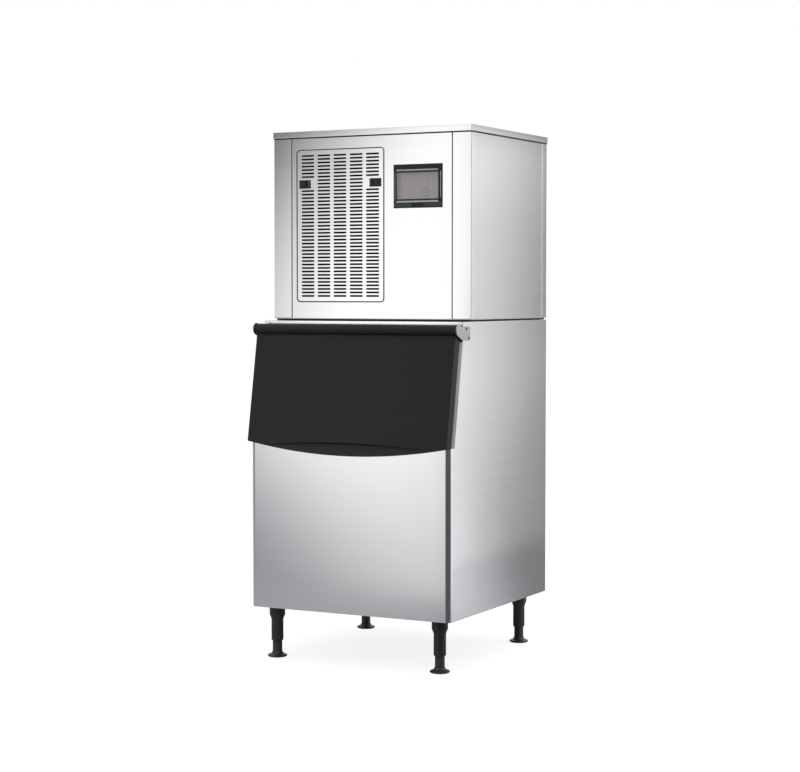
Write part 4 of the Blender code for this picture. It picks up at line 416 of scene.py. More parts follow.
# %% Finishes by slot
FINISH_OF_SLOT = {
    "stainless": steel,
    "galvanised": galvanised,
    "black_plastic": part_black,
    "white_plastic": white_plastic,
    "grey_plastic": frame_grey,
    "foam": foam_yellow,
    "rubber": rubber_and_shade_black,
    "copper": copper,
    "aluminium": aluminium,
    "black_steel": black_steel,
    "brass": brass,
    "smoked_cover": smoked,
    "keypad_grey": keypad_grey,
}
FINISH_OF_NODE = {
    "door_shell": door_black,
    "hinge_bracket_left": steel_fitting,
    "hinge_bracket_right": steel_fitting,
    "evaporator_grid": steel_inside,
    "air_filter": filter_black,
    "control_bezel": bezel_black,
}
SLOT_OF_NODE = {p["node"]: p["material_slot"] for p in frame["record"]["subparts"]}


def finish_of(node):
    """The finish of a CAD node, by its own name or else by its slot."""
    if node.startswith("leg_"):
        return leg_black
    return FINISH_OF_NODE.get(node, FINISH_OF_SLOT[SLOT_OF_NODE[node]])


for node_name, node_object in NODES.items():
    node_object.data.materials.clear()
    node_object.data.materials.append(finish_of(node_name))
print(len(NODES), "nodes have a finish")

# %% [markdown]
# ## Softened edges
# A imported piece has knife-sharp edges, and a real one doesn't: sheet is folded round a radius and
# plastic leaves its mould with rounded corners. Each visible piece is copied, its facets are
# joined, and a bevel rounds its edges by a few tenths of a millimetre, or by the fold's radius.

# %% Softened copies
BODY_OF = {n: b for b, ns in frame["record"]["behaviour"]["bodies"].items() for n in ns}
LEAST_ANGLE = math.radians(28.0)  # flatter edges belong to a curve and stay smooth
FLAT_ANGLE = math.radians(0.5)  # facets that meet at less than this are one
WELD = 1e-6  # m, points nearer than this are one
ON_BOX = 0.0001  # m, how near its box's side an edge counts as lying on it
CORNERS = ("front_left", "front_right", "rear_left", "rear_right")


def softened(node, edge=0.0004, fold=None):
    """Replaces a node by a copy with its edges rounded by edge, and its box's edges by fold."""
    mesh = bmesh.new()
    mesh.from_mesh(NODES[node].data)
    bmesh.ops.remove_doubles(mesh, verts=mesh.verts, dist=WELD)
    bmesh.ops.dissolve_limit(mesh, angle_limit=FLAT_ANGLE, verts=mesh.verts, edges=mesh.edges)
    box_low, box_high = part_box(node)
    weight = mesh.edges.layers.float.new("bevel_weight_edge")
    for line in mesh.edges:
        if len(line.link_faces) == 2 and line.calc_face_angle() > LEAST_ANGLE:
            ends = [v.co for v in line.verts]
            sides = sum(
                max(abs(end[axis] - side[axis]) for end in ends) < ON_BOX
                for axis in range(3)
                for side in (box_low, box_high)
            )
            line[weight] = 1.0 if fold is None or sides >= 2 else edge / fold
    for face in mesh.faces:
        face.smooth = True
    data = bpy.data.meshes.new(node + "_soft")
    mesh.to_mesh(data)
    mesh.free()
    data.materials.append(finish_of(node))
    copy = new_object(node + "_soft", data)
    bevel = copy.modifiers.new("bevel", "BEVEL")
    bevel.width = fold or edge
    bevel.segments = 3
    bevel.limit_method = "WEIGHT"
    copy.modifiers.new("normals", "WEIGHTED_NORMAL")
    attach(copy, BODY_OF[node])
    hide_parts(node)


SHEET_EDGE, POST_FOLD, LID_FOLD = 0.0003, 0.0028, 0.0016  # m
SOFT_EDGES = {  # m, and the pieces whose edges are rounded by that much
    0.0003: ("head_front_panel", "head_side_panel_left", "head_side_panel_right", "bin_wrap",
             "control_panel", "power_button", "head_back_panel", "bin_back_panel"),
    0.0004: ("bin_top_frame", "control_flap", "latch_housing_left", "latch_housing_right",
             "latch_slider_left", "latch_slider_right", "cable_gland", "water_inlet_valve",
             "bin_drain_fitting"),
    0.0005: ("control_bezel",),
    0.0006: ("hinge_bracket_left", "hinge_bracket_right", "door_inner_panel", "bin_liner"),
    0.0008: ("opening_frame", "door_shell"),
}
for soft_width, soft_nodes in SOFT_EDGES.items():
    for soft_node in soft_nodes:
        softened(soft_node, soft_width)
for post in CORNERS:
    softened("head_post_" + post, SHEET_EDGE, POST_FOLD)
softened("head_top_cover", SHEET_EDGE, LID_FOLD)
print(sum(map(len, SOFT_EDGES.values())) + len(CORNERS) + 1, "pieces have soft edges")

# %% [markdown]
# ## Surfaces from formulas
# New pieces are grids of points: one parameter runs along the piece, the other round it. The
# helpers below join neighbouring points to faces, weld the grid's seam and poles, and hand the
# piece to the body that it moves with.

# %% Grid helpers
def grid_faces(rows, columns, round_rows=False):
    """The four-sided faces of a grid whose columns close to a ring, and its rows too if asked."""
    row = np.arange(rows if round_rows else rows - 1)[:, None]
    column = np.arange(columns)[None, :]
    after, beside = (row + 1) % rows, (column + 1) % columns
    corners = (row * columns + column, row * columns + beside,
               after * columns + beside, after * columns + column)
    return np.stack(np.broadcast_arrays(*corners), -1).reshape(-1, 4)


def new_piece(name, points, faces, material, body="cabinet", closed=True, flat=None):
    """A mesh object from points and faces; closed ones are turned to face outwards."""
    data = bpy.data.meshes.new(name)
    data.from_pydata(np.asarray(points).reshape(-1, 3).tolist(), [], np.asarray(faces).tolist())
    smooth = np.ones(len(data.polygons), bool) if flat is None else ~flat
    data.polygons.foreach_set("use_smooth", smooth)
    mesh = bmesh.new()
    mesh.from_mesh(data)
    bmesh.ops.remove_doubles(mesh, verts=mesh.verts, dist=WELD)
    if closed:
        bmesh.ops.recalc_face_normals(mesh, faces=mesh.faces)
    mesh.to_mesh(data)
    mesh.free()
    data.materials.append(material)
    piece = new_object(name, data)
    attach(piece, body)
    return piece


def joined(parts):
    """One list of points and one of faces from several (points, faces) pairs."""
    points = [np.asarray(p).reshape(-1, 3) for p, _ in parts]
    starts = np.cumsum([0] + [len(p) for p in points[:-1]])
    return np.concatenate(points), np.concatenate([f + s for (_, f), s in zip(parts, starts)])


def lathe(profile, centre, steps=40):
    """Turns (radius r, height z) points upright: x = r cos a, y = r sin a, a from 0 to 2 pi."""
    radius, height = np.asarray(profile, float).T
    angle = np.linspace(0.0, 2.0 * np.pi, steps, endpoint=False)
    flat = [radius[:, None] * np.cos(angle), radius[:, None] * np.sin(angle)]
    upright = np.broadcast_to(height[:, None], flat[0].shape)
    return np.stack([*flat, upright], -1) + np.asarray(centre), grid_faces(len(radius), steps)


def strip(path, outward, profile, ring):
    """Draws a profile along a path on a front: point = path + outward * across, at depth y.

    path and outward are (x, z) pairs, profile is a ring of (across, y) points. Without ring the
    two ends are closed at the profile's middle.
    """
    path, outward, profile = (np.asarray(v, float) for v in (path, outward, profile))
    if not ring:
        path = path[[0, *range(len(path)), -1]]
        outward = outward[[0, *range(len(outward)), -1]]
    section = np.broadcast_to(profile, (len(path), *profile.shape)).copy()
    if not ring:
        section[[0, -1]] = profile.mean(0)
    flat = path[:, None, :] + outward[:, None, :] * section[..., :1]
    points = np.stack([flat[..., 0], section[..., 1], flat[..., 1]], -1)
    return points, grid_faces(*points.shape[:2], round_rows=ring)


def straight_strip(start, end, outward, profile, count):
    """A strip with closed ends on a straight line between two (x, z) points."""
    return strip(np.linspace(start, end, count), np.tile(outward, (count, 1)), profile, False)


def half_round(width, front, back, steps=8, sides=0.55):
    """A seal's section: flat at back, straight sides for that share, half an ellipse to front.

    depth = back + (front - back) * (sides + (1 - sides) * sin t), t from 0 to pi.
    """
    turn = np.linspace(0.0, np.pi, steps)
    across, bulge = 0.5 * width * np.cos(turn), np.sin(turn)
    depth = back + (front - back) * (sides + (1.0 - sides) * bulge)
    arc = np.stack([across, depth], -1)
    return np.concatenate([[[0.5 * width, back]], arc, [[-0.5 * width, back]]])


def rounded_loop(low, high, radius, steps=6):
    """A rectangle with rounded corners: its (x, z) points and their outward directions."""
    turn = np.linspace(0.0, 0.5 * np.pi, steps)
    corners = ((high[0], low[1], -0.5), (high[0], high[1], 0.0),
               (low[0], high[1], 0.5), (low[0], low[1], 1.0))
    points, outward = [], []
    for x, z, start in corners:
        way = np.stack([np.cos(turn + start * np.pi), np.sin(turn + start * np.pi)], -1)
        middle = np.array([x, z]) - radius * np.sign(np.array([x, z]) - np.add(low, high) / 2.0)
        points.append(middle + radius * way)
        outward.append(way)
    return np.concatenate(points), np.concatenate(outward)


# %% [markdown]
# ## The slotted filter cover
# The cover is punched from thin sheet: forty-one rows of slots in five columns, with a hole for
# each latch. Cutting two hundred holes with booleans is slow and leaves long thin faces, so the
# sheet is built from cells instead. Each cell runs in rings from its border to the rim of its
# slot, where the sheet turns in a little, and the outer edge is folded back in an arc.

# %% Filter cover
COVER_LOW, COVER_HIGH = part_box("grille_cover")
COVER_FACE = COVER_LOW.y
CELL = (0.0550, 0.01045)  # m, width and height of a cell
SLOT = (0.0435, 0.0050)
GRID_START = (-0.24, 1.075375)  # m, the lower left corner of the first cell
GRID_CELLS = (5, 41)  # columns and rows
RIM = 0.0005  # m, how far a punched rim turns in
EDGE = 0.0022  # m, the radius of the outer fold
SHEET = 0.0010
LATCH_ROWS = (31, 32, 33)  # the rows that a latch takes up
LATCH_HOLES = {0: (-0.2393, -0.2047), 4: (-0.0003, 0.0343)}  # column: left and right
LATCH_HOLE_Z = (1.4032, 1.4250)

half_cell, half_slot = np.array(CELL) / 2.0, np.array(SLOT) / 2.0
straight = half_slot[0] - half_slot[1]
bend = np.radians([0.0, 30.0, 60.0, 90.0])
arc = np.stack([straight + half_slot[1] * np.cos(bend), half_slot[1] * np.sin(bend)], -1)
slot_quarter = np.concatenate([arc, [[straight / 2.0, half_slot[1]], [0.0, half_slot[1]]]])
way_quarter = np.concatenate([np.stack([np.cos(bend), np.sin(bend)], -1), [[0.0, 1.0]] * 2])
wide, tall = half_cell
cell_quarter = np.array([[wide, 0.0], [wide, tall / 2.0], [wide, tall], [straight, tall],
                         [straight / 2.0, tall], [0.0, tall]])


def all_round(quarter):
    """Mirrors a quarter's points into the whole ring."""
    back = quarter[:0:-1]
    return np.concatenate([quarter[:-1], back * (-1, 1), -quarter[:-1], back * (1, -1)])


def bands(rings):
    """Faces between nested rings of (x, z, depth) points, from the outermost to the innermost."""
    points = np.stack([np.stack([r[:, 0], COVER_FACE + r[:, 2], r[:, 1]], -1) for r in rings])
    return points, grid_faces(len(rings), len(rings[0]))


def at_depth(ring, depth):
    """The (x, z) points of a ring with one depth for all."""
    return np.concatenate([ring, np.full((len(ring), 1), depth)], -1)


slot_ring, slot_way = all_round(slot_quarter), all_round(way_quarter)
turn_in = np.radians([0.0, 45.0, 90.0])
cell_rings = [at_depth(all_round(cell_quarter), 0.0)]
for turn in turn_in:
    ring = slot_ring + RIM * (1.0 - math.sin(turn)) * slot_way
    cell_rings.append(at_depth(ring, RIM * (1.0 - math.cos(turn))))
parts, flats = [], []
for column in range(GRID_CELLS[0]):
    for row in range(GRID_CELLS[1]):
        if column in LATCH_HOLES and row in LATCH_ROWS:
            continue
        middle = np.array(GRID_START) + CELL * np.array([column + 0.5, row + 0.5])
        parts.append(bands([r + (*middle, 0.0) for r in cell_rings]))
        flats.append(np.arange(len(parts[-1][1])) < len(slot_ring))


def border_of(columns, rows):
    """The points round a block of cells, with the directions that lead out of it."""
    across = np.array([-wide, -straight, -straight / 2.0, 0.0, straight / 2.0, straight])
    upwards_in_cell = np.array([-tall, -tall / 2.0, 0.0, tall / 2.0])
    x = (GRID_START[0] + CELL[0] * (np.arange(*columns)[:, None] + 0.5) + across).ravel()
    z = (GRID_START[1] + CELL[1] * (np.arange(*rows)[:, None] + 0.5) + upwards_in_cell).ravel()
    x = np.append(x, GRID_START[0] + CELL[0] * columns[1])
    z = np.append(z, GRID_START[1] + CELL[1] * rows[1])
    sides = ((x, np.full_like(x, z[0]), -0.5), (np.full_like(z, x[-1]), z, 0.0),
             (x[::-1], np.full_like(x, z[-1]), 0.5), (np.full_like(z, x[0]), z[::-1], 1.0))
    points, ways = [], []
    for side_x, side_z, start in sides:
        points.append(np.stack([side_x, side_z], -1))
        ways.append(np.full(len(side_x), start * np.pi))
        fan = start * np.pi + np.linspace(0.0, 0.5 * np.pi, 8)[1:-1]
        points.append(np.repeat(points[-1][-1:], len(fan), 0))
        ways.append(fan)
    way = np.concatenate(ways)
    return np.concatenate(points), np.stack([np.cos(way), np.sin(way)], -1)


border, border_way = border_of((0, GRID_CELLS[0]), (0, GRID_CELLS[1]))
margin = np.array([GRID_START[0] - COVER_LOW.x, GRID_START[1] - COVER_LOW.z])
edge_rings = []
for turn in np.radians([0.0, 22.5, 45.0, 67.5, 90.0]):
    ring = border + border_way * (margin - EDGE * (1.0 - math.sin(turn)))
    edge_rings.append(at_depth(ring, EDGE * (1.0 - math.cos(turn))))
skirt = at_depth(border + border_way * margin, COVER_HIGH.y - COVER_FACE)
parts.append(bands([skirt, *edge_rings[::-1], at_depth(border, 0.0)]))
flats.append(np.arange(len(parts[-1][1])) >= len(border) * len(edge_rings))
for column, (hole_left, hole_right) in LATCH_HOLES.items():
    block, _ = border_of((column, column + 1), (LATCH_ROWS[0], LATCH_ROWS[-1] + 1))
    hole = np.clip(block, (hole_left, LATCH_HOLE_Z[0]), (hole_right, LATCH_HOLE_Z[1]))
    parts.append(bands([at_depth(block, 0.0), at_depth(hole, 0.0)]))
    flats.append(np.ones(len(block), bool))

cover_points, cover_faces = joined(parts)
cover = new_piece("filter_cover", cover_points, cover_faces, steel, closed=False,
                  flat=np.concatenate(flats))
thicken = cover.modifiers.new("sheet", "SOLIDIFY")
thicken.thickness = SHEET
thicken.offset = -1.0
thicken.use_even_offset = True
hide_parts("grille_cover")
print("filter cover:", len(cover.data.polygons), "faces")

# %% [markdown]
# ## Black seals and shade strips
# A rubber gasket closes the gap under the head. Black rubber strips up both seams of the front,
# round the filter cover and under the lid's lip are painted shade: they darken these gaps as their
# shadow would. Each is one half-round section drawn along a path.

# %% Seals and painted shade strips
HEAD_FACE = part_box("head_front_panel")[0].y
PANEL_LOW, PANEL_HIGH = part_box("head_front_panel")
LID_LOW, LID_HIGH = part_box("head_top_cover")
SEAM = 0.0025  # m, between the front panel and a post
# The seam and cover strips are painted shade: black rubber where the gaps' shadow falls.
SEAM_SHADE_SIZES = (0.0012, 0.0004, 0.0050)  # m, how far it overlaps, stands proud and goes in
SEAM_MIDDLE = PANEL_HIGH.x + SEAM / 2.0
COVER_GAP = 0.0018  # m, round the filter cover
COVER_SHADE_SIZES = (0.0016, 0.0003, 0.0060)
COVER_SHADE_WIDER = 0.0007  # m, the shade strip goes further right, where the shadow is deeper
COVER_RADIUS = 0.0108
LOOP_RADIUS = 0.004
# The strip under the lid's lip is painted shade; the loop under the head is a gasket.
LIP_SHADE_SIZES = {"sides": 0.0020, "front": 0.0018, "back": 0.0024, "below": 0.0034, "above": 0.0003,
            "width": 0.0030}
SKIRT_SEAL = {"sides": 0.0075, "front": 0.0057, "back": 0.0045, "below": 0.0052,
              "above": 0.0022, "width": 0.0070}


def gap_section(gap, overlap, proud, deep):
    """The section of a black strip that paints the shade in a gap of the head's front."""
    return half_round(gap + overlap, HEAD_FACE - proud, HEAD_FACE + deep)


# Painted shade: black strips darken both front seams as their shadow would.
seam_section = gap_section(SEAM, *SEAM_SHADE_SIZES)
SEAM_Z = (PANEL_LOW.z + 0.001, LID_LOW.z + 0.004)
seam_parts = [straight_strip((x, SEAM_Z[0]), (x, SEAM_Z[1]), (1.0, 0.0), seam_section, 12)
              for x in (-SEAM_MIDDLE, SEAM_MIDDLE)]
seams = new_piece("seam_shade_strips", *joined(seam_parts), rubber_and_shade_black)

# Painted shade: a black strip darkens the gap round the filter cover, wider at the right.
gap_low = (COVER_LOW.x - COVER_GAP / 2.0, COVER_LOW.z - COVER_GAP / 2.0)
gap_high = (COVER_HIGH.x + COVER_GAP / 2.0 + COVER_SHADE_WIDER, COVER_HIGH.z + COVER_GAP / 2.0)
gap_path, gap_way = rounded_loop(gap_low, gap_high, COVER_RADIUS, 9)
gap_strip = strip(gap_path, gap_way, gap_section(COVER_GAP, *COVER_SHADE_SIZES), True)
cover_gap_shade = new_piece("cover_shade_strip", *gap_strip, rubber_and_shade_black)


def flat_loop(name, low, high, sides, front, back, below, above, width):
    """A black loop round the underside of a box, inset from it and bulging down to below it."""
    loop_low, loop_high = (low.x + sides, low.y + front), (high.x - sides, high.y - back)
    loop, outward = rounded_loop(loop_low, loop_high, LOOP_RADIUS, 5)
    points, faces = strip(loop, outward, half_round(width, low.z - below, low.z + above), True)
    piece = new_piece(name, points[..., [0, 2, 1]], faces, rubber_and_shade_black)


# Painted shade: a black strip under the lid's lip stands for the shadow below it.
flat_loop("lip_shade_strip", LID_LOW, LID_HIGH, **LIP_SHADE_SIZES)
PAN_LOW, PAN_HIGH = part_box("head_base_pan")
flat_loop("head_skirt_seal", PAN_LOW, PAN_HIGH, **SKIRT_SEAL)

# %% [markdown]
# ## Screws
# The brackets and the back panel are held by cross-head screws. A head is a low dome on a polar
# grid: height falls with the square of the radius, and the cross is pressed in where a point lies
# near one of two lines through the middle.

# %% Screws
def screw_head(radius, rise, across=0.22, depth=0.8, rings=14, steps=48):
    """A dome h = rise * (1 - (r / R) ** 2 / 2), less depth * rise in the arms of a cross."""
    part = np.linspace(0.0, 1.0, rings)[:, None]
    angle = np.linspace(0.0, 2.0 * np.pi, steps, endpoint=False)[None, :]
    u, v = part * np.cos(angle), part * np.sin(angle)
    arm = np.minimum(np.abs(u), np.abs(v)) < across / 2.0
    pressed = arm & (np.maximum(np.abs(u), np.abs(v)) < 0.62)
    height = rise * (1.0 - 0.5 * part ** 2) - np.where(pressed, depth * rise, 0.0)
    top = np.stack([radius * u, radius * v, height], -1)
    foot = np.stack([radius * u[-1], radius * v[-1], np.zeros(steps)], -1)[None]
    grid = np.concatenate([top, foot, np.zeros_like(foot)])
    return grid, grid_faces(*grid.shape[:2])


def screws(name, places, out, radius, rise, finish, slot_name):
    """Screw heads at places, whose axis points along out, one of the three axes with its sign."""
    axis = int(np.argmax(np.abs(out)))
    sign = float(np.sign(out[axis]))
    head, faces = screw_head(radius, rise)
    turned = np.roll(head, axis + 1, -1) * np.where(np.arange(3) == axis, sign, 1.0)
    parts = [(turned + np.asarray(place), faces) for place in places]
    piece = new_piece(name, *joined(parts), finish)


BRACKET_HOLES = ((-0.2486, 0.9876), (-0.2320, 0.9605))  # m, depth and height of each screw
BRACKET_SCREW = (0.0042, 0.0016)  # m, radius and rise of its head
BACK_SCREW = (0.0040, 0.0015)
HEAD_INSETS = (0.012, 0.014, 0.034)  # m, from the back panel's sides, bottom and top
BIN_INSETS = (0.02, 0.03)  # m, from the bin's sides, and from its bottom and top
bracket_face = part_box("hinge_bracket_right")[1].x
for side in (-1.0, 1.0):
    holes = [(side * bracket_face, y, z) for y, z in BRACKET_HOLES]
    screws("bracket_screws_" + ("left" if side < 0 else "right"), holes, (side, 0.0, 0.0),
           *BRACKET_SCREW, black_steel, "black_steel")
back_low, back_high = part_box("head_back_panel")
from_side, from_bottom, from_top = HEAD_INSETS
back_left, back_right = back_low.x + from_side, back_high.x - from_side
back_holes = [(x, back_high.y, z)
              for x in (back_left, 0.0, back_right)
              for z in (back_low.z + from_bottom, back_high.z - from_top)]
back_middle = (back_low.z + back_high.z) / 2.0
back_holes += [(x, back_high.y, back_middle) for x in (back_left, back_right)]
bin_low, bin_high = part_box("bin_back_panel")
from_side, from_end = BIN_INSETS
back_holes += [(x, bin_high.y, z)
               for x in (bin_low.x + from_side, bin_high.x - from_side)
               for z in np.linspace(bin_low.z + from_end, bin_high.z - from_end, 4)]
screws("back_screws", back_holes, (0.0, 1.0, 0.0), *BACK_SCREW, steel_inside, "stainless")

# %% [markdown]
# ## Legs
# A leg is a moulded sleeve with a foot that screws into it. Both are turned shapes, so a profile
# of radius against height draws them. The foot's stem carries a true thread: its surface waves
# with height, and the wave's start turns once for each pitch.

# %% Legs
SLEEVE = [
    (0.0, 0.1440), (0.0120, 0.1440), (0.0148, 0.1412), (0.0148, 0.0512), (0.0152, 0.0504),
    (0.0162, 0.0500), (0.0170, 0.0502), (0.0177, 0.0512), (0.0180, 0.0530), (0.0180, 0.1125),
    (0.0183, 0.1145), (0.0190, 0.1168), (0.0222, 0.1246), (0.0232, 0.1268), (0.0236, 0.1290),
    (0.0236, 0.1520), (0.0233, 0.1530), (0.0226, 0.1535), (0.0, 0.1535),
]
FOOT = [
    (0.0, 0.0), (0.0200, 0.0), (0.0240, 0.0003), (0.0268, 0.0012), (0.0284, 0.0024),
    (0.0290, 0.0040), (0.0289, 0.0056), (0.0281, 0.0068), (0.0266, 0.0074), (0.0246, 0.0077),
    (0.0220, 0.0084), (0.0196, 0.0096), (0.0178, 0.0112), (0.0166, 0.0132), (0.0162, 0.0150),
    (0.0158, 0.0160), (0.0144, 0.0164),
]
STEM = (0.0143, 0.0166, 0.0880)  # m, mean radius, bottom and top
STEM_END = (0.0130, 0.0890)  # m, radius and height of its chamfered end
PITCH = 0.0028
THREAD = 0.00035
FOOT_STEPS = 36

for leg in CORNERS:
    foot_low, foot_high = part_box("leg_foot_" + leg)
    middle = ((foot_low.x + foot_high.x) / 2.0, (foot_low.y + foot_high.y) / 2.0, 0.0)
    sleeve = new_piece("sleeve_" + leg, *lathe(SLEEVE, middle), leg_black)
    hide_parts("leg_sleeve_" + leg)
    stem_z = np.linspace(STEM[1], STEM[2], 140)
    stem = [(STEM[0], z) for z in stem_z]
    profile = np.array([*FOOT, *stem, STEM_END, (0.0, STEM_END[1])])
    grid, faces = lathe(profile, (0.0, 0.0, 0.0), FOOT_STEPS)
    angle = np.linspace(0.0, 2.0 * np.pi, FOOT_STEPS, endpoint=False)
    wave = THREAD * np.sin(2.0 * np.pi * grid[..., 2] / PITCH - angle)
    on_stem = (profile[:, 1] >= STEM[1]) & (profile[:, 0] == STEM[0])
    grid[..., 0] += np.where(on_stem[:, None], wave * np.cos(angle), 0.0)
    grid[..., 1] += np.where(on_stem[:, None], wave * np.sin(angle), 0.0)
    foot = new_piece("foot_" + leg, grid + middle, faces, leg_black, BODY_OF["leg_foot_" + leg])
    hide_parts("leg_foot_" + leg)

# %% [markdown]
# ## Small parts of the front
# The thumb pieces of the latches are ribbed so that a fingertip can push them. A thin pale strip
# on the bezel by the flap's right edge is a painted highlight: the glint of the bezel's inner edge.

# %% Latch ribs and painted glint strip
PAD_RIM = ((0.0, 0.0), (0.7, 0.0001), (1.0, 0.0005))  # share of the height, m from the edge


def ribbed_pad(x_low, x_high, z_low, z_high, back, rise, ribs):
    """A pad whose front waves across: it stands rise * (2 + 3 * (1 - cos(2 pi ribs s))) / 8 high.

    s runs from 0 to 1 between x_low and x_high.
    """
    share = np.linspace(0.0, 1.0, ribs * 10 + 1)
    height = rise * (0.25 + 0.75 * 0.5 * (1.0 - np.cos(2.0 * np.pi * ribs * share)))
    x = x_low + (x_high - x_low) * share
    rows = [(part, z_low + inset) for part, inset in PAD_RIM]
    rows += [(part, z_high - inset) for part, inset in PAD_RIM[::-1]]
    rim = np.stack([np.stack([x, back - part * height, np.full_like(x, z)], -1)
                    for part, z in rows], 1)
    ends = np.repeat(rim[[0, -1]].mean(1, keepdims=True), len(rows), 1)
    grid = np.concatenate([ends[:1], rim, ends[1:]])
    return grid, grid_faces(*grid.shape[:2])


LATCH_TRAVEL = 0.0064  # m, how far a thumb piece slides, with a little play
PAD_INSET = (0.0010, 0.0035)  # m, from the housing's end, and from its top and bottom
PAD_RISE = 0.0005
PAD_RIBS = 3
for side in ("left", "right"):
    house_low, house_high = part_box("latch_housing_" + side)
    thumb_low, thumb_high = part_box("latch_slider_" + side)
    if side == "left":
        pad_x = (thumb_high.x + LATCH_TRAVEL, house_high.x - PAD_INSET[0])
    else:
        pad_x = (house_low.x + PAD_INSET[0], thumb_low.x - LATCH_TRAVEL)
    pad = ribbed_pad(*pad_x, house_low.z + PAD_INSET[1], house_high.z - PAD_INSET[1],
                     house_low.y + 0.0001, PAD_RISE, PAD_RIBS)
    ribs = new_piece("latch_ribs_" + side, *pad, latch_grey)

# Painted highlight: a pale strip on the bezel, where its inner right edge catches the light.
GLINT_X = BEZEL_HIGH.x - 0.0040
GLINT_Z = (FLAP_LOW.z + 0.0098, FLAP_HIGH.z - 0.0079)
GLINT_WIDE, GLINT_PROUD = 0.0022, 0.0004

glint_section = half_round(GLINT_WIDE, BEZEL_LOW.y - GLINT_PROUD, BEZEL_LOW.y + GLINT_PROUD)
glint_strip = straight_strip((GLINT_X, GLINT_Z[0]), (GLINT_X, GLINT_Z[1]), (1.0, 0.0),
                             glint_section, 10)
glint_piece = new_piece("bezel_glint_strip", *glint_strip, glint_grey)

# %% [markdown]
# ## Louvre hoods
# Each slot of the back panel has a small hood above it that keeps drips out. One bulged section is
# drawn along every slot.

# %% Louvre hoods
LOUVRE_STARTS = (-0.2325, -0.0525)  # m, the left end of each column of slots
LOUVRE_LONG = 0.150
LOUVRE_TOP = 1.4359  # m, the top row's hood
LOUVRE_STEP = 0.02
LOUVRE_ROWS = 12
HOOD_TALL, HOOD_REACH, HOOD_ROOT = 0.0042, 0.0035, 0.0002

hood_section = half_round(HOOD_TALL, back_high.y + HOOD_REACH, back_high.y - HOOD_ROOT)
hood_z = LOUVRE_TOP - LOUVRE_STEP * np.arange(LOUVRE_ROWS)
hood_parts = [straight_strip((x, z), (x + LOUVRE_LONG, z), (0.0, 1.0), hood_section, 16)
              for x in LOUVRE_STARTS for z in hood_z]
hoods = new_piece("louvre_hoods", *joined(hood_parts), galvanised)

# %% [markdown]
# ## The studio
# The picture was taken in a white studio on a pale floor. Steel is a blurred mirror, so what
# stands round the machine decides its shade. The floor is white to the camera. To the steel it is
# a grey floor with a dark cloth before the right front corner, which draws the dark band down the
# bin's rounded corner, and with a fading cloth at the right, which lets the side grow darker to
# the back.

# %% Floor
BIN_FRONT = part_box("bin_wrap")[0].y
FLOOR_RADII = (0.0, 1.5, 4.0, 12.0, 40.0)  # m
CORNER_CLOTH = (38.0, 50.0, 60.0)  # degrees, the dark cloth's compass, full and none
CORNER_TONE = 0.075
FLOOR_TONE = 0.42
BEHIND_X, BEHIND_Y = (0.35, 0.60), (0.1, 0.6)  # m, where the right cloth fades in
FADE_WAY = (-1.93, 1.0, 0.0)  # across the lines on which the side mirrors one height
FADE = (0.05, 0.70, 0.72, 0.16)  # m along that way, and the cloth's tones there
SHOWN_TONES = ((0.22, 0.22, 0.22), (0.24, 0.24, 0.24))
SHOWN_GLOW = 0.84  # brings the floor that the camera sees close to white


def pale_floor():
    """A flat disc: rings of growing radius round the machine's middle."""
    points, faces = lathe([(radius, 0.0) for radius in FLOOR_RADII], (0.0, 0.0, 0.0), 64)
    mesh = bpy.data.meshes.new("floor")
    mesh.from_pydata(points.reshape(-1, 3).tolist(), [], faces[:, ::-1].tolist())
    return new_object("floor", mesh)


def sector(tree, direction, compass, full, none, inside_value, outside_value):
    """inside_value within full degrees of a compass direction, outside_value past none degrees.

    compass is in degrees from the machine's front, towards its right side.
    """
    turn = math.radians(compass)
    towards = (math.sin(turn), -math.cos(turn), 0.0)
    dot = vector_math(tree, "DOT_PRODUCT", direction, towards)
    low, high = math.cos(math.radians(none)), math.cos(math.radians(full))
    return ramp(tree, dot, low, high, outside_value, inside_value)


def floor_finish():
    """Nearly white to the camera; to any other ray grey, with the two dark cloths."""
    material, tree, shader, where = new_finish("floor_pale")
    from_corner = vector_math(tree, "SUBTRACT", where, (cad_high.x, BIN_FRONT, 0.0))
    way = vector_math(tree, "NORMALIZE", from_corner)
    shade = sector(tree, way, *CORNER_CLOTH, 1.0, 0.0)
    right, back, _ = coordinates(tree, where)
    behind = times(tree, ramp(tree, back, *BEHIND_Y),
                   ramp(tree, right, *BEHIND_X))
    along = vector_math(tree, "DOT_PRODUCT", from_corner, FADE_WAY)
    cloth = blend_colours(tree, behind, (FLOOR_TONE,) * 3, ramp(tree, along, *FADE))
    tone = blend_colours(tree, shade, cloth, (CORNER_TONE,) * 3)
    tree.links.new(tone, shader.inputs["Base Color"])
    set_shader(shader, Roughness=0.9)
    shown_tone = blend_colours(tree, noise(tree, where, 2.0), *SHOWN_TONES)
    lit = add(tree, "ShaderNodeBsdfDiffuse", {"Color": shown_tone})
    glow = add(tree, "ShaderNodeEmission", {"Strength": SHOWN_GLOW})
    shown = add(tree, "ShaderNodeAddShader", {0: lit.outputs[0], 1: glow.outputs[0]})
    seen = add(tree, "ShaderNodeLightPath").outputs["Is Camera Ray"]
    mix = add(tree, "ShaderNodeMixShader", {0: seen, 1: shader.outputs[0], 2: shown.outputs[0]})
    tree.links.new(mix.outputs[0], tree.nodes["Material Output"].inputs[0])
    return material


floor = pale_floor()
floor.data.materials.append(floor_finish())

# %% [markdown]
# ## Soft lights
# Each large side light stands where the camera sees its mirror image in one face: one for the
# front, at the left of the machine, one for the right side, and one for the back in other views. A
# plain lamp would make a flat white sheet, so each light's strength changes across it and up it,
# and the right one ends in a bright strip, which is the white line beside the corner's dark band.

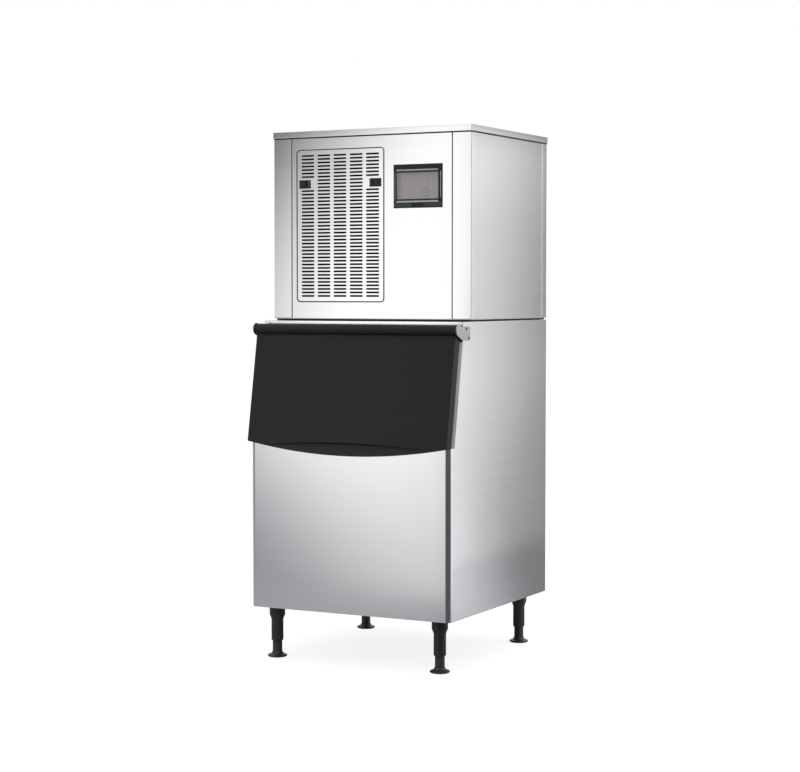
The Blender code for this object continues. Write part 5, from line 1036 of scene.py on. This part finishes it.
# %% Lights
LIGHT_COLOUR = (1.0, 0.988, 0.985)
EYE = 1.1  # m, the height of the side lights' middles


def soft_light(name, place, towards, size, brightness, fades, lean=0.0, level=0.4):
    """An area light of size metres at place; u goes from 0 to 1 across it and v up it.

    Its strength is brightness times one smooth step S for each fade (axis, start, end, first,
    last): first before start, last after end. Across, the steps use u - lean * (v - level) ** 2.
    """
    data = bpy.data.lights.new(name, "AREA")
    data.shape = "RECTANGLE"
    data.size, data.size_y = size
    data.energy = math.pi * size[0] * size[1]
    data.color = LIGHT_COLOUR
    data.use_nodes = True
    tree = data.node_tree
    spot = add(tree, "ShaderNodeNewGeometry").outputs["Parametric"]
    across, up, _ = coordinates(tree, spot)
    above = math_node(tree, "SUBTRACT", up, level)
    bow = times(tree, times(tree, above, above), lean)
    axes = {"across": math_node(tree, "SUBTRACT", across, bow), "up": up}
    strength = brightness
    for axis, start, end, first, last in fades:
        inputs = {0: axes[axis], 1: start, 2: end, 3: first, 4: last}
        step = add(tree, "ShaderNodeMapRange", inputs, interpolation_type="SMOOTHSTEP")
        strength = times(tree, strength, step.outputs[0])
    tree.links.new(strength, tree.nodes["Emission"].inputs["Strength"])
    light = new_object(name, data)
    light.location = place
    light.rotation_euler = (Vector(towards) - Vector(place)).to_track_quat("-Z", "Y").to_euler()
    light.visible_camera = False


FRONT_FADES = (
    ("across", 0.0, 0.63, 0.0, 1.0),
    ("across", 0.93, 1.0, 1.0, 0.0),
    ("up", -0.03, 0.47, 0.385, 1.0),
)
RIGHT_FADES = (
    ("across", 0.12, 0.22, 4.5, 1.0),
    ("across", 0.46, 1.12, 1.08, 0.22),
    ("up", 0.1, 0.55, 0.84, 1.0),
    ("up", 0.6, 0.74, 1.0, 1.15),
    ("up", 0.77, 0.82, 1.0, 0.45),
)
BACK_FADES = (("across", 0.0, 0.9, 0.4, 1.0), ("up", 0.0, 0.5, 0.5, 1.0))
TOP_FADES = (
    ("across", 0.0, 0.4, 0.0, 1.0),
    ("across", 0.6, 1.0, 1.0, 0.0),
    ("up", 0.0, 0.4, 0.0, 1.0),
    ("up", 0.6, 1.0, 1.0, 0.0),
)
LIGHTS = {  # place, towards, size, brightness and fades, and lean and level where it leans
    "light_front": ((-0.975, -1.6, EYE), (-0.975, 0.0, EYE), (1.45, 2.2), 1.42, FRONT_FADES,
                    2.2, 0.42),
    "light_right": ((1.3, 1.65, EYE), (0.0, 1.65, EYE), (2.4, 2.2), 1.02, RIGHT_FADES,
                    -0.36, 0.9),
    "light_back": ((-0.5, 3.0, EYE), (-0.5, 0.0, EYE), (2.4, 2.2), 0.8, BACK_FADES),
    "light_top": ((0.3, -0.6, 3.6), (0.0, 0.0, 0.0), (3.5, 3.5), 1.5, TOP_FADES),
}
for light_name, settings in LIGHTS.items():
    soft_light(light_name, *settings)

# %% [markdown]
# ## The room round the machine
# What the lights leave out is the room: pale above and grey at eye level, with two darker parts at
# eye level, the one where the camera stands and the one behind the right light. The camera itself
# sees plain white.

# %% Room
DARK_PARTS = ((10.0, 60.0, 76.0, 0.72), (150.0, 16.0, 30.0, 0.85))  # compass, full, none, depth
ROOM_GREY = (0.05, 0.8, 0.56, 1.0)  # from and to these upward parts, and the greys there
EYE_LEVEL = (0.10, 0.24, 1.0, 0.0)
ROOM_COLOUR = (0.93, 0.97, 1.04, 1.0)

world = bpy.data.worlds.new("studio")
bpy.context.scene.world = world
world.use_nodes = True
world_tree = world.node_tree
world_tree.nodes.clear()
direction = add(world_tree, "ShaderNodeTexCoord").outputs["Generated"]
upwards = coordinates(world_tree, direction)[2]
grey = ramp(world_tree, upwards, *ROOM_GREY)
eye_level = ramp(world_tree, upwards, *EYE_LEVEL)
for compass, full, none, depth in DARK_PARTS:
    shade = sector(world_tree, direction, compass, full, none, depth, 0.0)
    shade = times(world_tree, shade, eye_level)
    grey = times(world_tree, grey, math_node(world_tree, "SUBTRACT", 1.0, shade))
room = add(world_tree, "ShaderNodeBackground", {"Strength": grey, "Color": ROOM_COLOUR})
white = add(world_tree, "ShaderNodeBackground",
            {"Strength": 1.0, "Color": (1.0, 1.0, 1.0, 1.0)})
seen = add(world_tree, "ShaderNodeLightPath").outputs["Is Camera Ray"]
mixed = add(world_tree, "ShaderNodeMixShader", {0: seen, 1: room.outputs[0], 2: white.outputs[0]})
add(world_tree, "ShaderNodeOutputWorld", {0: mixed.outputs[0]})
